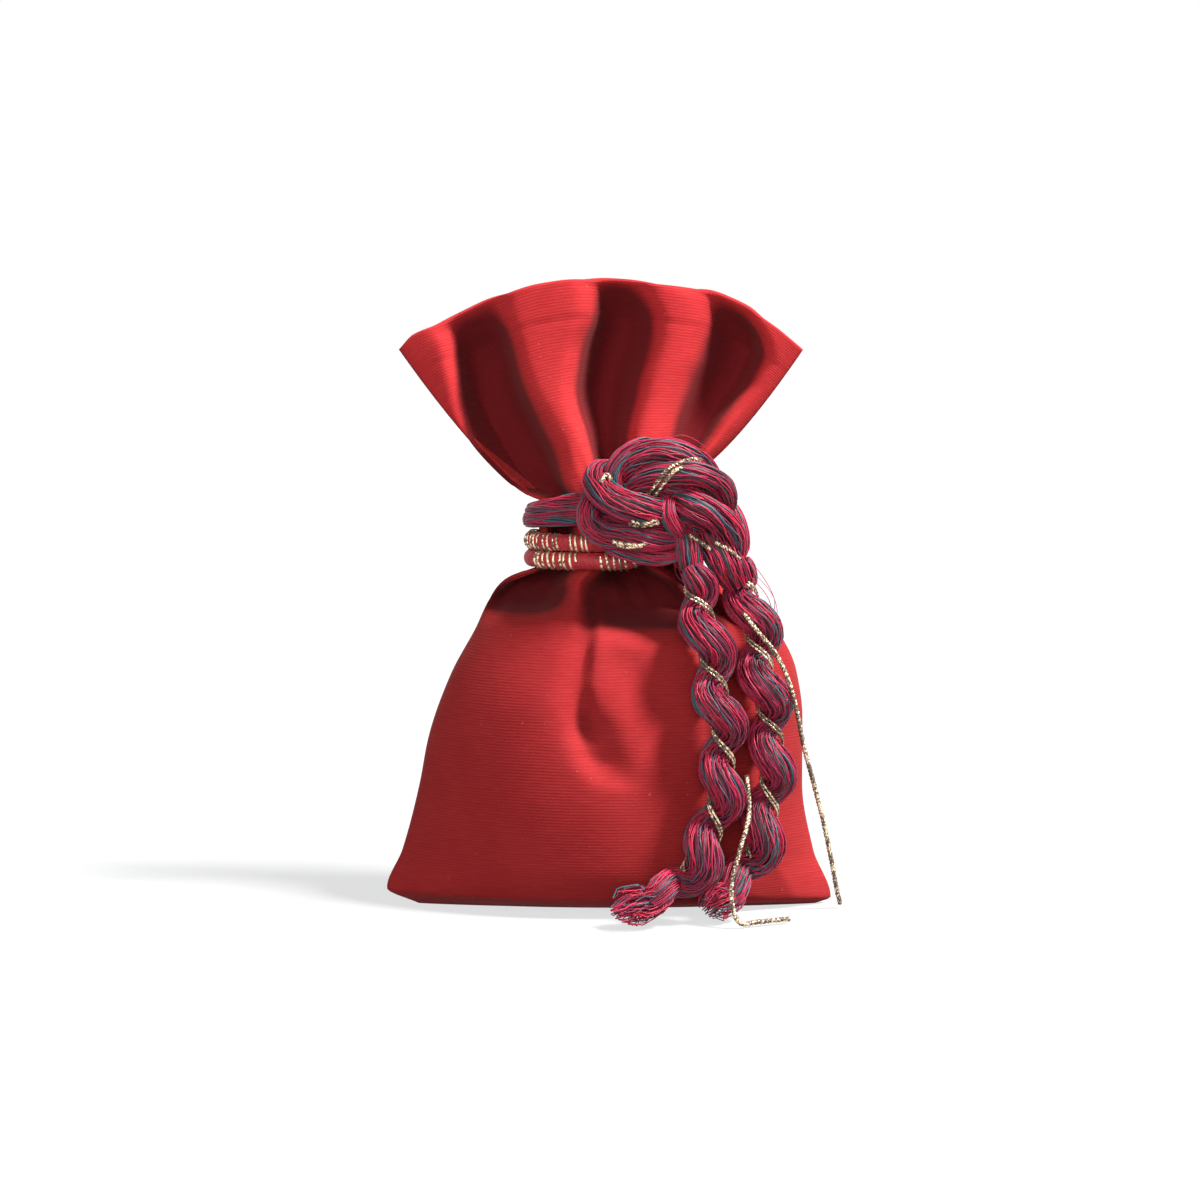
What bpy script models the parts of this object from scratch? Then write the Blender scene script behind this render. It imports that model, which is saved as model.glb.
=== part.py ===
"""Small filled cloth pouch, tied at the neck with a skein of thread and a gold-wound braid.

Metres, +Z up, front towards -Y. The origin is the middle of the flat patch that the pouch
stands on. The pouch is one folded and sewn piece of cloth: filled below the tie, and an
open flared mouth above it.
"""

import math
from dataclasses import dataclass

import bmesh
import bpy
import numpy as np

# Clearance between pieces that touch
GAP = 0.0003

# The cloth
CLOTH_WALL = 0.0009
HEM_DEPTH = 0.0075
HEM_STEP = 0.0003

# The filled body, below the tie
SHOULDER_HEIGHT = 0.0650
PATCH_HALF_WIDTH = 0.0365
EAR_HALF_WIDTH = 0.0426
HIP_LEFT = 0.0362
HIP_RIGHT = 0.0370
FLANK_LEFT = 0.0302
FLANK_RIGHT = 0.0358
COLLAR_LEFT = 0.0203
COLLAR_RIGHT = 0.0228
PATCH_HALF_DEPTH = 0.0095
BELLY_HALF_DEPTH = 0.0218

# The neck, gathered inside the tie
NECK_HALF_WIDTH = 0.0143
NECK_HALF_DEPTH = 0.0092
NECK_SHIFT = 0.0010

# The open mouth, above the tie
MOUTH_HEIGHT = 0.0409
MOUTH_LEFT = 0.0397
MOUTH_RIGHT = 0.0365
MOUTH_HALF_DEPTH = 0.0062
CORNER_DROP = 0.0140
LEFT_CORNER_FORWARD = 0.0012
RIGHT_CORNER_FORWARD = 0.0040
POCKET_FLOOR = 0.0050

# The tie: two turns of braid under one turn of skein, and a knot at the front
BRAID_HEIGHT = 0.0031
BRAID_THICKNESS = 0.0026
BRAID_PITCH = BRAID_HEIGHT + GAP
SKEIN_WIDTH = 0.0054
SKEIN_THICKNESS = 0.0030
TIE_TILT = 0.16

# The loose ends: two twisted skeins, and the two ends of a gold cord
TAIL_DIAMETER = 0.0090
GOLD_DIAMETER = 0.0011

# Counts that set how finely the round forms are drawn
PANEL_SEGMENTS = 42
TURN_SEGMENTS = 36


def smooth_through(stations, at):
    """Values of a smooth curve through (place, value) stations, with no overshoot between them."""
    x = np.array([s[0] for s in stations], float)
    y = np.array([s[1] for s in stations], float)
    step = np.diff(x)
    rise = np.diff(y) / step
    slope = np.zeros_like(y)
    both = rise[:-1] * rise[1:] > 0
    weight = (2 * step[1:] + step[:-1], step[1:] + 2 * step[:-1])
    before, after = np.where(both, rise[:-1], 1), np.where(both, rise[1:], 1)
    inner = (weight[0] + weight[1]) / (weight[0] / before + weight[1] / after)
    slope[1:-1] = np.where(both, inner, 0)
    slope[0], slope[-1] = rise[0], rise[-1]
    at = np.clip(np.asarray(at, float), x[0], x[-1])
    i = np.clip(np.searchsorted(x, at) - 1, 0, len(step) - 1)
    t = (at - x[i]) / step[i]
    return (
        y[i] * (1 + 2 * t) * (1 - t) ** 2
        + slope[i] * step[i] * t * (1 - t) ** 2
        + y[i + 1] * t * t * (3 - 2 * t)
        + slope[i + 1] * step[i] * t * t * (t - 1)
    )


# Levels up the pouch: 0 is the floor, 1 the underside of the tie, 2 its top and 3 the rim.
BASE, SHOULDER, TIE_TOP, RIM = 0.0, 1.0, 2.0, 3.0

LEFT_REACH = (
    (0.0, PATCH_HALF_WIDTH),
    (0.045, EAR_HALF_WIDTH),
    (0.16, 0.93 * EAR_HALF_WIDTH),
    (0.36, HIP_LEFT),
    (0.49, 0.955 * HIP_LEFT),
    (0.68, FLANK_LEFT),
    (0.80, 0.86 * FLANK_LEFT),
    (0.95, COLLAR_LEFT),
    (SHOULDER, NECK_HALF_WIDTH - NECK_SHIFT),
)
RIGHT_REACH = (
    (0.0, PATCH_HALF_WIDTH),
    (0.040, EAR_HALF_WIDTH),
    (0.16, 0.93 * EAR_HALF_WIDTH),
    (0.36, HIP_RIGHT),
    (0.55, HIP_RIGHT),
    (0.69, FLANK_RIGHT),
    (0.80, 0.91 * FLANK_RIGHT),
    (0.95, COLLAR_RIGHT),
    (SHOULDER, NECK_HALF_WIDTH + NECK_SHIFT),
)
HALF_DEPTH = (
    (0.0, PATCH_HALF_DEPTH),
    (0.012, 0.60 * BELLY_HALF_DEPTH),
    (0.045, 0.77 * BELLY_HALF_DEPTH),
    (0.16, 0.93 * BELLY_HALF_DEPTH),
    (0.38, BELLY_HALF_DEPTH),
    (0.58, 0.98 * BELLY_HALF_DEPTH),
    (0.76, 0.84 * BELLY_HALF_DEPTH),
    (0.90, 0.60 * BELLY_HALF_DEPTH),
    (SHOULDER, NECK_HALF_DEPTH),
    (TIE_TOP, NECK_HALF_DEPTH),
    (2.4, 0.5 * (NECK_HALF_DEPTH + MOUTH_HALF_DEPTH)),
    (RIM, MOUTH_HALF_DEPTH),
)
# 0.5 is the round end of an ellipse, 1 the pointed end of a lens.
SIDE_POINT = (
    (0.0, 0.85),
    (0.06, 0.95),
    (0.25, 0.80),
    (0.60, 0.66),
    (0.85, 0.52),
    (SHOULDER, 0.50),
    (TIE_TOP, 0.50),
    (2.3, 0.62),
    (RIM, 0.80),
)


@dataclass(frozen=True)
class Fold:
    """A gathered fold in one panel. Each row of line is level, place across (-1 left seam,
    1 right seam), depth into the pouch and half width across."""

    line: tuple

    def push(self, level, across):
        """How far the fold moves the cloth towards the inside of the pouch."""
        place = smooth_through([(r[0], r[1]) for r in self.line], level)
        depth = smooth_through([(r[0], r[2]) for r in self.line], level)
        width = smooth_through([(r[0], r[3]) for r in self.line], level)
        return depth * np.exp(-(((across - place) / width) ** 2))


FRONT_FOLDS = (
    Fold(
        (
            (0.72, -0.88, 0.0000, 0.15),
            (0.82, -0.82, 0.0030, 0.14),
            (0.89, -0.76, 0.0070, 0.13),
            (SHOULDER, -0.64, 0.0068, 0.12),
            (TIE_TOP, -0.62, 0.0068, 0.12),
            (2.20, -0.62, 0.0100, 0.13),
            (2.45, -0.60, 0.0118, 0.14),
            (2.72, -0.64, 0.0084, 0.14),
            (2.88, -0.66, 0.0030, 0.14),
            (RIM, -0.66, 0.0014, 0.20),
        )
    ),
    Fold(
        (
            (0.22, 0.30, 0.0000, 0.12),
            (0.36, 0.04, 0.0020, 0.11),
            (0.50, -0.14, 0.0026, 0.10),
            (0.64, -0.20, 0.0028, 0.09),
            (0.78, -0.22, 0.0042, 0.10),
            (0.90, -0.16, 0.0064, 0.11),
            (SHOULDER, -0.04, 0.0076, 0.12),
            (TIE_TOP, 0.04, 0.0078, 0.13),
            (2.20, 0.06, 0.0104, 0.15),
            (2.50, 0.06, 0.0112, 0.15),
            (2.78, 0.06, 0.0078, 0.16),
            (2.90, 0.06, 0.0046, 0.17),
            (RIM, 0.08, 0.0030, 0.22),
        )
    ),
    Fold(
        (
            (0.72, 0.30, 0.0000, 0.16),
            (0.80, 0.30, 0.0016, 0.18),
            (0.88, 0.32, 0.0046, 0.17),
            (SHOULDER, 0.38, 0.0038, 0.13),
            (1.60, 0.40, 0.0000, 0.12),
        )
    ),
    Fold(
        (
            (0.40, 0.42, 0.0000, 0.10),
            (0.56, 0.26, 0.0011, 0.11),
            (0.70, 0.12, 0.0012, 0.10),
            (0.80, 0.06, 0.0000, 0.09),
        )
    ),
    Fold(
        (
            (0.46, 0.60, 0.0000, 0.16),
            (0.66, 0.62, 0.0014, 0.14),
            (0.85, 0.66, 0.0040, 0.12),
            (SHOULDER, 0.70, 0.0062, 0.11),
            (TIE_TOP, 0.72, 0.0062, 0.11),
            (2.25, 0.74, 0.0074, 0.12),
            (2.50, 0.76, 0.0092, 0.13),
            (2.80, 0.72, 0.0086, 0.14),
            (2.92, 0.68, 0.0040, 0.14),
            (RIM, 0.66, 0.0016, 0.18),
        )
    ),
)
BACK_FOLDS = (
    Fold(
        (
            (0.62, -0.62, 0.0000, 0.18),
            (0.85, -0.56, 0.0036, 0.14),
            (SHOULDER, -0.48, 0.0066, 0.12),
            (TIE_TOP, -0.44, 0.0066, 0.12),
            (2.40, -0.42, 0.0054, 0.16),
            (RIM, -0.40, 0.0018, 0.20),
        )
    ),
    Fold(
        (
            (0.30, 0.10, 0.0000, 0.16),
            (0.60, 0.10, 0.0022, 0.14),
            (0.85, 0.08, 0.0048, 0.13),
            (SHOULDER, 0.04, 0.0070, 0.12),
            (TIE_TOP, 0.02, 0.0070, 0.12),
            (2.40, 0.10, 0.0058, 0.16),
            (RIM, 0.14, 0.0022, 0.20),
        )
    ),
    Fold(
        (
            (0.55, 0.70, 0.0000, 0.18),
            (0.85, 0.60, 0.0036, 0.14),
            (SHOULDER, 0.50, 0.0062, 0.12),
            (TIE_TOP, 0.52, 0.0062, 0.12),
            (2.40, 0.56, 0.0048, 0.15),
            (RIM, 0.60, 0.0016, 0.18),
        )
    ),
)
LEAST_LAYER_GAP = 0.0022


def tie_top(x):
    """Height of the tie's upper edge: two turns of braid, and the sloping skein above them."""
    left_end = NECK_SHIFT - NECK_HALF_WIDTH
    return SHOULDER_HEIGHT + 2 * BRAID_PITCH + GAP + SKEIN_WIDTH + TIE_TILT * (x - left_end)


def level_height(level, across):
    """Height of a row of cloth above the floor."""
    gathered = tie_top(NECK_SHIFT + NECK_HALF_WIDTH * across)
    rim = tie_top(NECK_SHIFT) + MOUTH_HEIGHT - CORNER_DROP * np.abs(across) ** 2.2
    body = SHOULDER_HEIGHT * level
    neck = SHOULDER_HEIGHT + (level - SHOULDER) * (gathered - SHOULDER_HEIGHT)
    mouth = gathered + (level - TIE_TOP) * (rim - gathered)
    return np.where(level <= SHOULDER, body, np.where(level <= TIE_TOP, neck, mouth))


def section_ends(level):
    """The x of the left and of the right seam at a level."""
    body = np.clip(level, BASE, SHOULDER)
    left = -smooth_through(LEFT_REACH, body)
    right = smooth_through(RIGHT_REACH, body)
    flare = np.clip(level - TIE_TOP, 0, 1) ** 0.75
    left = left + flare * (-MOUTH_LEFT - left)
    right = right + flare * (MOUTH_RIGHT - right)
    return left, right


def cloth_point(level, across, front):
    """Outer surface of one panel, as arrays x, y, z. across runs from -1 to 1."""
    level, across = np.broadcast_arrays(np.asarray(level, float), np.asarray(across, float))
    left, right = section_ends(level)
    x = 0.5 * (left + right) + 0.5 * (right - left) * across
    rounded = np.clip(1 - np.abs(across) ** 2, 0, 1) ** smooth_through(SIDE_POINT, level)
    depth = smooth_through(HALF_DEPTH, level) * rounded
    fade = np.clip(rounded * 2.2, 0, 1)
    mouth = np.clip(level - TIE_TOP, 0, 1)
    forward = np.where(across < 0, LEFT_CORNER_FORWARD, RIGHT_CORNER_FORWARD)
    seam = -forward * mouth * np.abs(across) ** 3
    y_front = seam - depth + fade * sum(f.push(level, across) for f in FRONT_FOLDS)
    if front:
        return x, y_front, level_height(level, across)
    y_back = seam + depth - fade * sum(f.push(level, across) for f in BACK_FOLDS)
    least = y_front + LEAST_LAYER_GAP * fade
    y_back = 0.5 * (y_back + least + np.sqrt((y_back - least) ** 2 + (0.001 * fade) ** 2))
    return x, y_back, level_height(level, across)


def spread_across():
    """Places across a panel, from seam to seam, closer together near the seams."""
    even = np.linspace(-1, 1, PANEL_SEGMENTS + 1)
    return 0.5 * even + 0.5 * np.sin(0.5 * math.pi * even)


def ring(level):
    """A closed row of cloth: along the front from left to right, and back behind."""
    across = spread_across()
    front = np.stack(cloth_point(level, across, True), axis=1)
    back = np.stack(cloth_point(level, across, False), axis=1)
    return np.concatenate([front, back[-2:0:-1]])


def pulled_in(points, distance):
    """A row of cloth moved towards its own inside, in its own plane."""
    before, after = np.roll(points, 1, axis=0), np.roll(points, -1, axis=0)
    along = (after - before)[:, :2]
    along = along / np.maximum(np.linalg.norm(along, axis=1, keepdims=True), 1e-9)
    inward = np.stack([-along[:, 1], along[:, 0]], axis=1)
    out = points.copy()
    out[:, :2] += distance * inward
    return out


def clear_scene():
    """Removes the objects that are in the scene."""
    for thing in list(bpy.data.objects):
        bpy.data.objects.remove(thing)


def plain_material(name, colour, roughness, metallic=0.0):
    """A Principled material of one colour."""
    material = bpy.data.materials.new(name)
    material.use_nodes = True
    shader = material.node_tree.nodes["Principled BSDF"]
    shader.inputs["Base Color"].default_value = (*colour, 1.0)
    shader.inputs["Roughness"].default_value = roughness
    shader.inputs["Metallic"].default_value = metallic
    return material


def add_object(name, data, material):
    """Puts a mesh or a curve in the scene as a named object."""
    thing = bpy.data.objects.new(name, data)
    data.materials.append(material)
    bpy.context.scene.collection.objects.link(thing)
    return thing


def lofted_mesh(name, rings):
    """A closed mesh through rings of equally many points, with a flat cap at each end."""
    shape = bmesh.new()
    rows = [[shape.verts.new(p) for p in r] for r in rings]
    count = len(rings[0])
    for low, high in zip(rows, rows[1:]):
        for i in range(count):
            j = (i + 1) % count
            shape.faces.new((low[i], low[j], high[j], high[i]))
    shape.faces.new(rows[0][::-1])
    shape.faces.new(rows[-1])
    bmesh.ops.recalc_face_normals(shape, faces=shape.faces)
    mesh = bpy.data.meshes.new(name)
    shape.to_mesh(mesh)
    shape.free()
    mesh.shade_smooth()
    return mesh


def make_pouch(material):
    """The sewn bag: filled below the tie, a real cloth wall and an open pocket above it."""
    body = [0, 0.012, 0.045, 0.09, 0.15, 0.23, 0.32, 0.41, 0.5, 0.59, 0.67, 0.74, 0.8]
    body += [0.855, 0.9, 0.94, 0.975, SHOULDER]
    mouth = [TIE_TOP, 2.07, 2.15, 2.25, 2.36, 2.48, 2.6, 2.72]
    hem_line = RIM - HEM_DEPTH / MOUTH_HEIGHT
    rings = [ring(level) for level in body + mouth + [hem_line - 0.01]]
    hem = [pulled_in(ring(level), -HEM_STEP) for level in (hem_line, 2.91, RIM)]
    pocket_level = TIE_TOP + POCKET_FLOOR / MOUTH_HEIGHT
    inner_levels = (RIM, 2.86, 2.7, 2.55, 2.4, 2.28, pocket_level)
    inner = [pulled_in(ring(level), CLOTH_WALL) for level in inner_levels]
    return add_object("pouch_body", lofted_mesh("pouch_body", rings + hem + inner), material)


# The knot's bundles of thread, in millimetres: across from the middle of the neck, ahead of the
# turn of skein, and above the underside of the tie. The last number is the bundle's diameter.
KNOT_BUNDLES = (
    ("front_left", ((-2.6, 3.0, 19.4), (0.4, 5.0, 16.4), (4.2, 5.8, 14.9), (7.4, 5.0, 13.8)), 5.4),
    ("under_left", ((-4.0, 0.8, 14.2), (-3.4, 2.4, 9.9), (0.6, 3.4, 8.6), (5.4, 3.8, 8.3),
                    (10.0, 3.8, 8.0), (14.0, 3.2, 7.6)), 4.3),
    ("upper_left", ((6.0, 2.2, 23.4), (2.0, 3.2, 21.8), (0.4, 3.2, 18.8), (1.6, 2.4, 15.8)), 3.9),
    ("top_arch", ((3.6, 2.2, 17.4), (7.2, 4.0, 20.2), (11.2, 3.6, 21.8), (15.6, 1.0, 20.6)), 5.6),
    ("right_arch", ((9.6, 3.2, 16.8), (13.8, 4.4, 18.8), (18.6, 2.6, 18.4), (21.8, -0.6, 15.4),
                    (21.6, -2.4, 11.8)), 4.6),
    ("right_lobe", ((12.2, 3.6, 12.4), (16.6, 4.6, 11.2), (20.4, 3.4, 8.4), (22.6, 1.0, 5.4)), 5.4),
    ("middle", ((9.8, 4.0, 12.4), (10.6, 4.8, 9.8), (12.8, 4.0, 7.8)), 3.3),
    ("smooth_loop", ((20.6, -2.8, 12.4), (23.2, -2.2, 9.4), (23.9, -1.4, 5.8), (22.9, -0.2, 3.6)),
     2.7),
    ("low_pass", ((2.4, 2.0, 3.6), (6.4, 2.2, 2.7), (10.6, 2.4, 2.6), (14.2, 2.6, 3.6)), 3.2),
    ("left_stem", ((12.6, 2.8, 8.6), (13.8, 3.8, 5.2), (14.0, 4.2, 3.2)), 5.0),
)
KNOT_CORE = ((1.0, 1.4, 13.4), (9.0, 2.0, 13.8), (17.6, -0.8, 11.8))
KNOT_CORE_DIAMETER = 8.0
MILLIMETRE = 0.001


def knot_place(point):
    """A place in the knot, in metres."""
    across, ahead, above = point
    face = NECK_HALF_DEPTH + GAP + SKEIN_THICKNESS
    return (
        NECK_SHIFT + across * MILLIMETRE,
        -face - ahead * MILLIMETRE,
        SHOULDER_HEIGHT + above * MILLIMETRE,
    )


def curve_through(route, count):
    """Evenly spaced points on a smooth curve through the points of a route."""
    route = np.array(route, float)
    ends = np.vstack([2 * route[0] - route[1], route, 2 * route[-1] - route[-2]])
    fine = []
    for a, b, c, d in zip(ends, ends[1:], ends[2:], ends[3:]):
        for t in np.linspace(0, 1, 24, endpoint=False):
            fine.append(
                0.5 * (2 * b + (c - a) * t + (2 * a - 5 * b + 4 * c - d) * t**2
                       + (3 * b - a - 3 * c + d) * t**3)
            )
    fine = np.array(fine + [route[-1]])
    run = np.concatenate([[0], np.cumsum(np.linalg.norm(np.diff(fine, axis=0), axis=1))])
    at = np.linspace(0, run[-1], count)
    return np.stack([np.interp(at, run, fine[:, k]) for k in range(3)], axis=1)


def round_section(diameter, sides):
    """Points of a circle, in the plane across a path."""
    angles = 2 * math.pi * np.arange(sides) / sides
    return 0.5 * diameter * np.stack([np.cos(angles), np.sin(angles)], axis=1)


def swept_rings(path, section, swell, side):
    """Rows of points of a section carried along a path. side is a direction that the section's
    first axis keeps to, and swell holds a factor for each point of the path."""
    along = np.gradient(path, axis=0)
    along /= np.linalg.norm(along, axis=1, keepdims=True)
    first = side - (along @ side)[:, None] * along
    first /= np.linalg.norm(first, axis=1, keepdims=True)
    second = np.cross(along, first)
    return [
        p + f * (section[:, :1] * u + section[:, 1:] * v)
        for p, f, u, v in zip(path, swell, first, second)
    ]


def bundle_mesh(name, route, diameter, count=9, sides=8):
    """One bundle of thread of the knot: a thick tube with rounded ends."""
    path = curve_through(route, count)
    run = np.linalg.norm(np.diff(path, axis=0), axis=1).sum()
    place = np.linspace(0, run, count)
    from_end = np.minimum(place, run - place)
    swell = np.sqrt(np.clip(1 - (1 - from_end / (0.42 * diameter)) ** 2, 0.12, 1))
    swell = np.where(from_end < 0.42 * diameter, swell, 1.0)
    side = np.array([0.08, -1.0, 0.05])
    return lofted_mesh(name, swept_rings(path, round_section(diameter, sides), swell, side))


def skein_turn_mesh():
    """The turn of skein round the neck: a closed loop that slopes up to the right."""
    turn = 2 * math.pi * np.arange(TURN_SEGMENTS) / TURN_SEGMENTS
    out = GAP + 0.5 * SKEIN_THICKNESS
    x = NECK_SHIFT + (NECK_HALF_WIDTH + out) * np.cos(turn)
    y = (NECK_HALF_DEPTH + out) * np.sin(turn)
    middle = np.stack([x, y, tie_top(x) - 0.5 * SKEIN_WIDTH], axis=1)
    ahead = np.stack([np.cos(turn) / (NECK_HALF_WIDTH + out),
                      np.sin(turn) / (NECK_HALF_DEPTH + out)], axis=1)
    ahead /= np.linalg.norm(ahead, axis=1, keepdims=True)
    shape = bmesh.new()
    sides = 10
    rows = []
    for point, away in zip(middle, ahead):
        row = []
        for k in range(sides):
            angle = 2 * math.pi * k / sides
            outward = 0.5 * SKEIN_THICKNESS * math.cos(angle)
            row.append(shape.verts.new((
                point[0] + outward * away[0],
                point[1] + outward * away[1],
                point[2] + 0.5 * SKEIN_WIDTH * math.sin(angle),
            )))
        rows.append(row)
    for i in range(TURN_SEGMENTS):
        low, high = rows[i], rows[(i + 1) % TURN_SEGMENTS]
        for k in range(sides):
            j = (k + 1) % sides
            shape.faces.new((low[k], high[k], high[j], low[j]))
    bmesh.ops.recalc_face_normals(shape, faces=shape.faces)
    mesh = bpy.data.meshes.new("skein_turn")
    shape.to_mesh(mesh)
    shape.free()
    mesh.shade_smooth()
    return mesh


def joined(name, meshes, material):
    """One closed piece made of several that run into each other."""
    whole, *others = [add_object(f"{name}_{i}", mesh, material) for i, mesh in enumerate(meshes)]
    helpers = bpy.data.collections.new("helpers")
    bpy.context.scene.collection.children.link(helpers)
    for other in others:
        helpers.objects.link(other)
    union = whole.modifiers.new("union", "BOOLEAN")
    union.operation = "UNION"
    union.solver = "EXACT"
    union.operand_type = "COLLECTION"
    union.collection = helpers
    bpy.context.view_layer.update()
    graph = bpy.context.evaluated_depsgraph_get()
    mesh = bpy.data.meshes.new_from_object(whole.evaluated_get(graph))
    for thing in (whole, *others):
        bpy.data.objects.remove(thing)
    bpy.data.collections.remove(helpers)
    mesh.name = name
    mesh.materials.clear()
    mesh.shade_smooth()
    return add_object(name, mesh, material)


def make_skein_tie(material):
    """The skein: a turn round the neck that ends in a big knot at the front."""
    core = [knot_place(p) for p in KNOT_CORE]
    meshes = [skein_turn_mesh(), bundle_mesh("core", core, KNOT_CORE_DIAMETER * MILLIMETRE)]
    for name, points, diameter in KNOT_BUNDLES:
        route = [knot_place(p) for p in points]
        meshes.append(bundle_mesh(name, route, diameter * MILLIMETRE))
    return joined("skein_tie", meshes, material)


def make_gold_braid(material):
    """The braid: two turns round the neck, one on top of the other, with its ends at the knot."""
    starts, ends = math.radians(-42), math.radians(-95 + 720)
    climb_from, climb_to = math.radians(-85 + 360), math.radians(-48 + 360)
    turn = np.linspace(starts, ends, 2 * TURN_SEGMENTS + 1)
    out = GAP + 0.5 * BRAID_THICKNESS
    x = NECK_SHIFT + (NECK_HALF_WIDTH + out) * np.cos(turn)
    y = (NECK_HALF_DEPTH + out) * np.sin(turn)
    climb = np.clip((turn - climb_from) / (climb_to - climb_from), 0, 1)
    z = SHOULDER_HEIGHT + 0.5 * BRAID_HEIGHT + BRAID_PITCH * climb * climb * (3 - 2 * climb)
    angles = 2 * math.pi * np.arange(8) / 8
    section = np.stack([0.5 * BRAID_HEIGHT * np.cos(angles),
                        0.5 * BRAID_THICKNESS * np.sin(angles)], axis=1)
    upright = np.array([0.0, 0.0, 1.0])
    path = np.stack([x, y, z], axis=1)
    rings = swept_rings(path, section, np.ones(len(path)), upright)
    return add_object("gold_braid", lofted_mesh("gold_braid", rings), material)


# Routes of the loose ends, in metres, from where each leaves the tie to where it ends on the floor
TAIL_LEFT_ROUTE = (
    (0.0148, -0.0170, 0.0656),
    (0.0164, -0.0183, 0.0600),
    (0.0181, -0.0200, 0.0533),
    (0.0196, -0.0218, 0.0442),
    (0.0210, -0.0221, 0.0364),
    (0.0209, -0.0222, 0.0280),
    (0.0197, -0.0224, 0.0202),
    (0.0171, -0.0229, 0.0133),
    (0.0130, -0.0243, 0.0080),
    (0.0078, -0.0264, 0.0050),
)
TAIL_RIGHT_ROUTE = (
    (0.0240, -0.0131, 0.0665),
    (0.0257, -0.0137, 0.0600),
    (0.0277, -0.0153, 0.0522),
    (0.0287, -0.0167, 0.0442),
    (0.0301, -0.0169, 0.0364),
    (0.0303, -0.0168, 0.0280),
    (0.0294, -0.0169, 0.0202),
    (0.0276, -0.0177, 0.0133),
    (0.0250, -0.0191, 0.0082),
    (0.0222, -0.0206, 0.0050),
)
GOLD_RIGHT_ROUTE = (
    (0.0248, -0.0199, 0.0577),
    (0.0276, -0.0207, 0.0541),
    (0.0306, -0.0208, 0.0504),
    (0.0330, -0.0201, 0.0455),
    (0.0347, -0.0193, 0.0396),
    (0.0362, -0.0178, 0.0325),
    (0.0381, -0.0152, 0.0257),
    (0.0402, -0.0122, 0.0179),
    (0.0419, -0.0094, 0.0104),
    (0.0432, -0.0071, 0.0039),
    (0.0440, -0.0056, 0.0009),
)
GOLD_LEFT_ROUTE = (
    (0.0255, -0.0200, 0.0275),
    (0.0258, -0.0236, 0.0210),
    (0.0240, -0.0257, 0.0143),
    (0.0225, -0.0266, 0.0085),
    (0.0228, -0.0272, 0.0034),
    (0.0243, -0.0266, 0.0009),
    (0.0270, -0.0252, 0.0009),
    (0.0303, -0.0233, 0.0009),
    (0.0336, -0.0217, 0.0009),
)
TAIL_POINTS = 13
GOLD_POINTS = 26


def cord_object(name, path, diameter, resolution, material):
    """A cord: a round tube with closed ends, along the points of a path."""
    curve = bpy.data.curves.new(name, "CURVE")
    curve.dimensions = "3D"
    curve.bevel_depth = 0.5 * diameter
    curve.bevel_resolution = resolution
    curve.use_fill_caps = True
    spline = curve.splines.new("POLY")
    spline.points.add(len(path) - 1)
    for point, place in zip(spline.points, path):
        point.co = (*place, 1.0)
    return add_object(name, curve, material)


def make_tails(material):
    """The skein's two ends, hanging from the knot to the floor."""
    left = curve_through(TAIL_LEFT_ROUTE, TAIL_POINTS)
    right = curve_through(TAIL_RIGHT_ROUTE, TAIL_POINTS)
    cord_object("skein_tail_left", left, TAIL_DIAMETER, 4, material)
    cord_object("skein_tail_right", right, TAIL_DIAMETER, 4, material)


def make_gold_cords(material):
    """The two loose ends of the gold cord that is twisted in with the skein."""
    left = curve_through(GOLD_LEFT_ROUTE, GOLD_POINTS * 2 // 3)
    right = curve_through(GOLD_RIGHT_ROUTE, GOLD_POINTS)
    cord_object("gold_cord_left", left, GOLD_DIAMETER, 2, material)
    cord_object("gold_cord_right", right, GOLD_DIAMETER, 2, material)


def main():
    """Builds the pouch and its tie."""
    clear_scene()
    cloth = plain_material("red_cloth", (0.55, 0.03, 0.03), 0.8)
    thread = plain_material("crimson_thread", (0.38, 0.02, 0.08), 0.6)
    gold = plain_material("gold_braid", (0.45, 0.16, 0.06), 0.4)
    make_pouch(cloth)
    make_skein_tie(thread)
    make_gold_braid(gold)
    make_tails(thread)
    make_gold_cords(gold)


main()
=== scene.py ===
"""Dresses the tied cloth pouch: ribbed red cloth, a knotted skein of thread and a gold cord.

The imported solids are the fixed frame. Metres, +Z up, front towards -Y.
"""

import logging
import math
from dataclasses import dataclass, field
from enum import Enum
from typing import Callable, Sequence

import bmesh
import bpy
import numpy as np
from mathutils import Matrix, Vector
from mathutils.bvhtree import BVHTree


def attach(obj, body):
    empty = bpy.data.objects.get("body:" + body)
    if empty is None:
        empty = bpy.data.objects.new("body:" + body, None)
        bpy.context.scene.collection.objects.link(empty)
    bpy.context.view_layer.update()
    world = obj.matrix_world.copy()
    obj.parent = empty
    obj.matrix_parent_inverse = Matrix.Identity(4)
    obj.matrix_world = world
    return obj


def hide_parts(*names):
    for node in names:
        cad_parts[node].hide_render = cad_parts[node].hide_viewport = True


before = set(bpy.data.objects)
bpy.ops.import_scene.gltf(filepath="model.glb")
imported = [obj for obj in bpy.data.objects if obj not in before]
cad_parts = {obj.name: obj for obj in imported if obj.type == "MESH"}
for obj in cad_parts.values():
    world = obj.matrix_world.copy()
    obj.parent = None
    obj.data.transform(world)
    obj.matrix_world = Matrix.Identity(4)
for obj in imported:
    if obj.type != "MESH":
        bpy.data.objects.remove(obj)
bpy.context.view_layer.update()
BODY = "root"
MM = 0.001

logging.basicConfig(level=logging.INFO, format="%(message)s")
log = logging.getLogger("pouch")

Point = tuple[float, float, float]
Place = tuple[float, float]
Stations = Sequence[Place]


class Side(Enum):
    """The side of the pouch, as seen from the front."""

    LEFT = "left"
    RIGHT = "right"


class Panel(Enum):
    """The two panels of the bag."""

    FRONT = "front"
    BACK = "back"


# Shared curves and meshes


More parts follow.
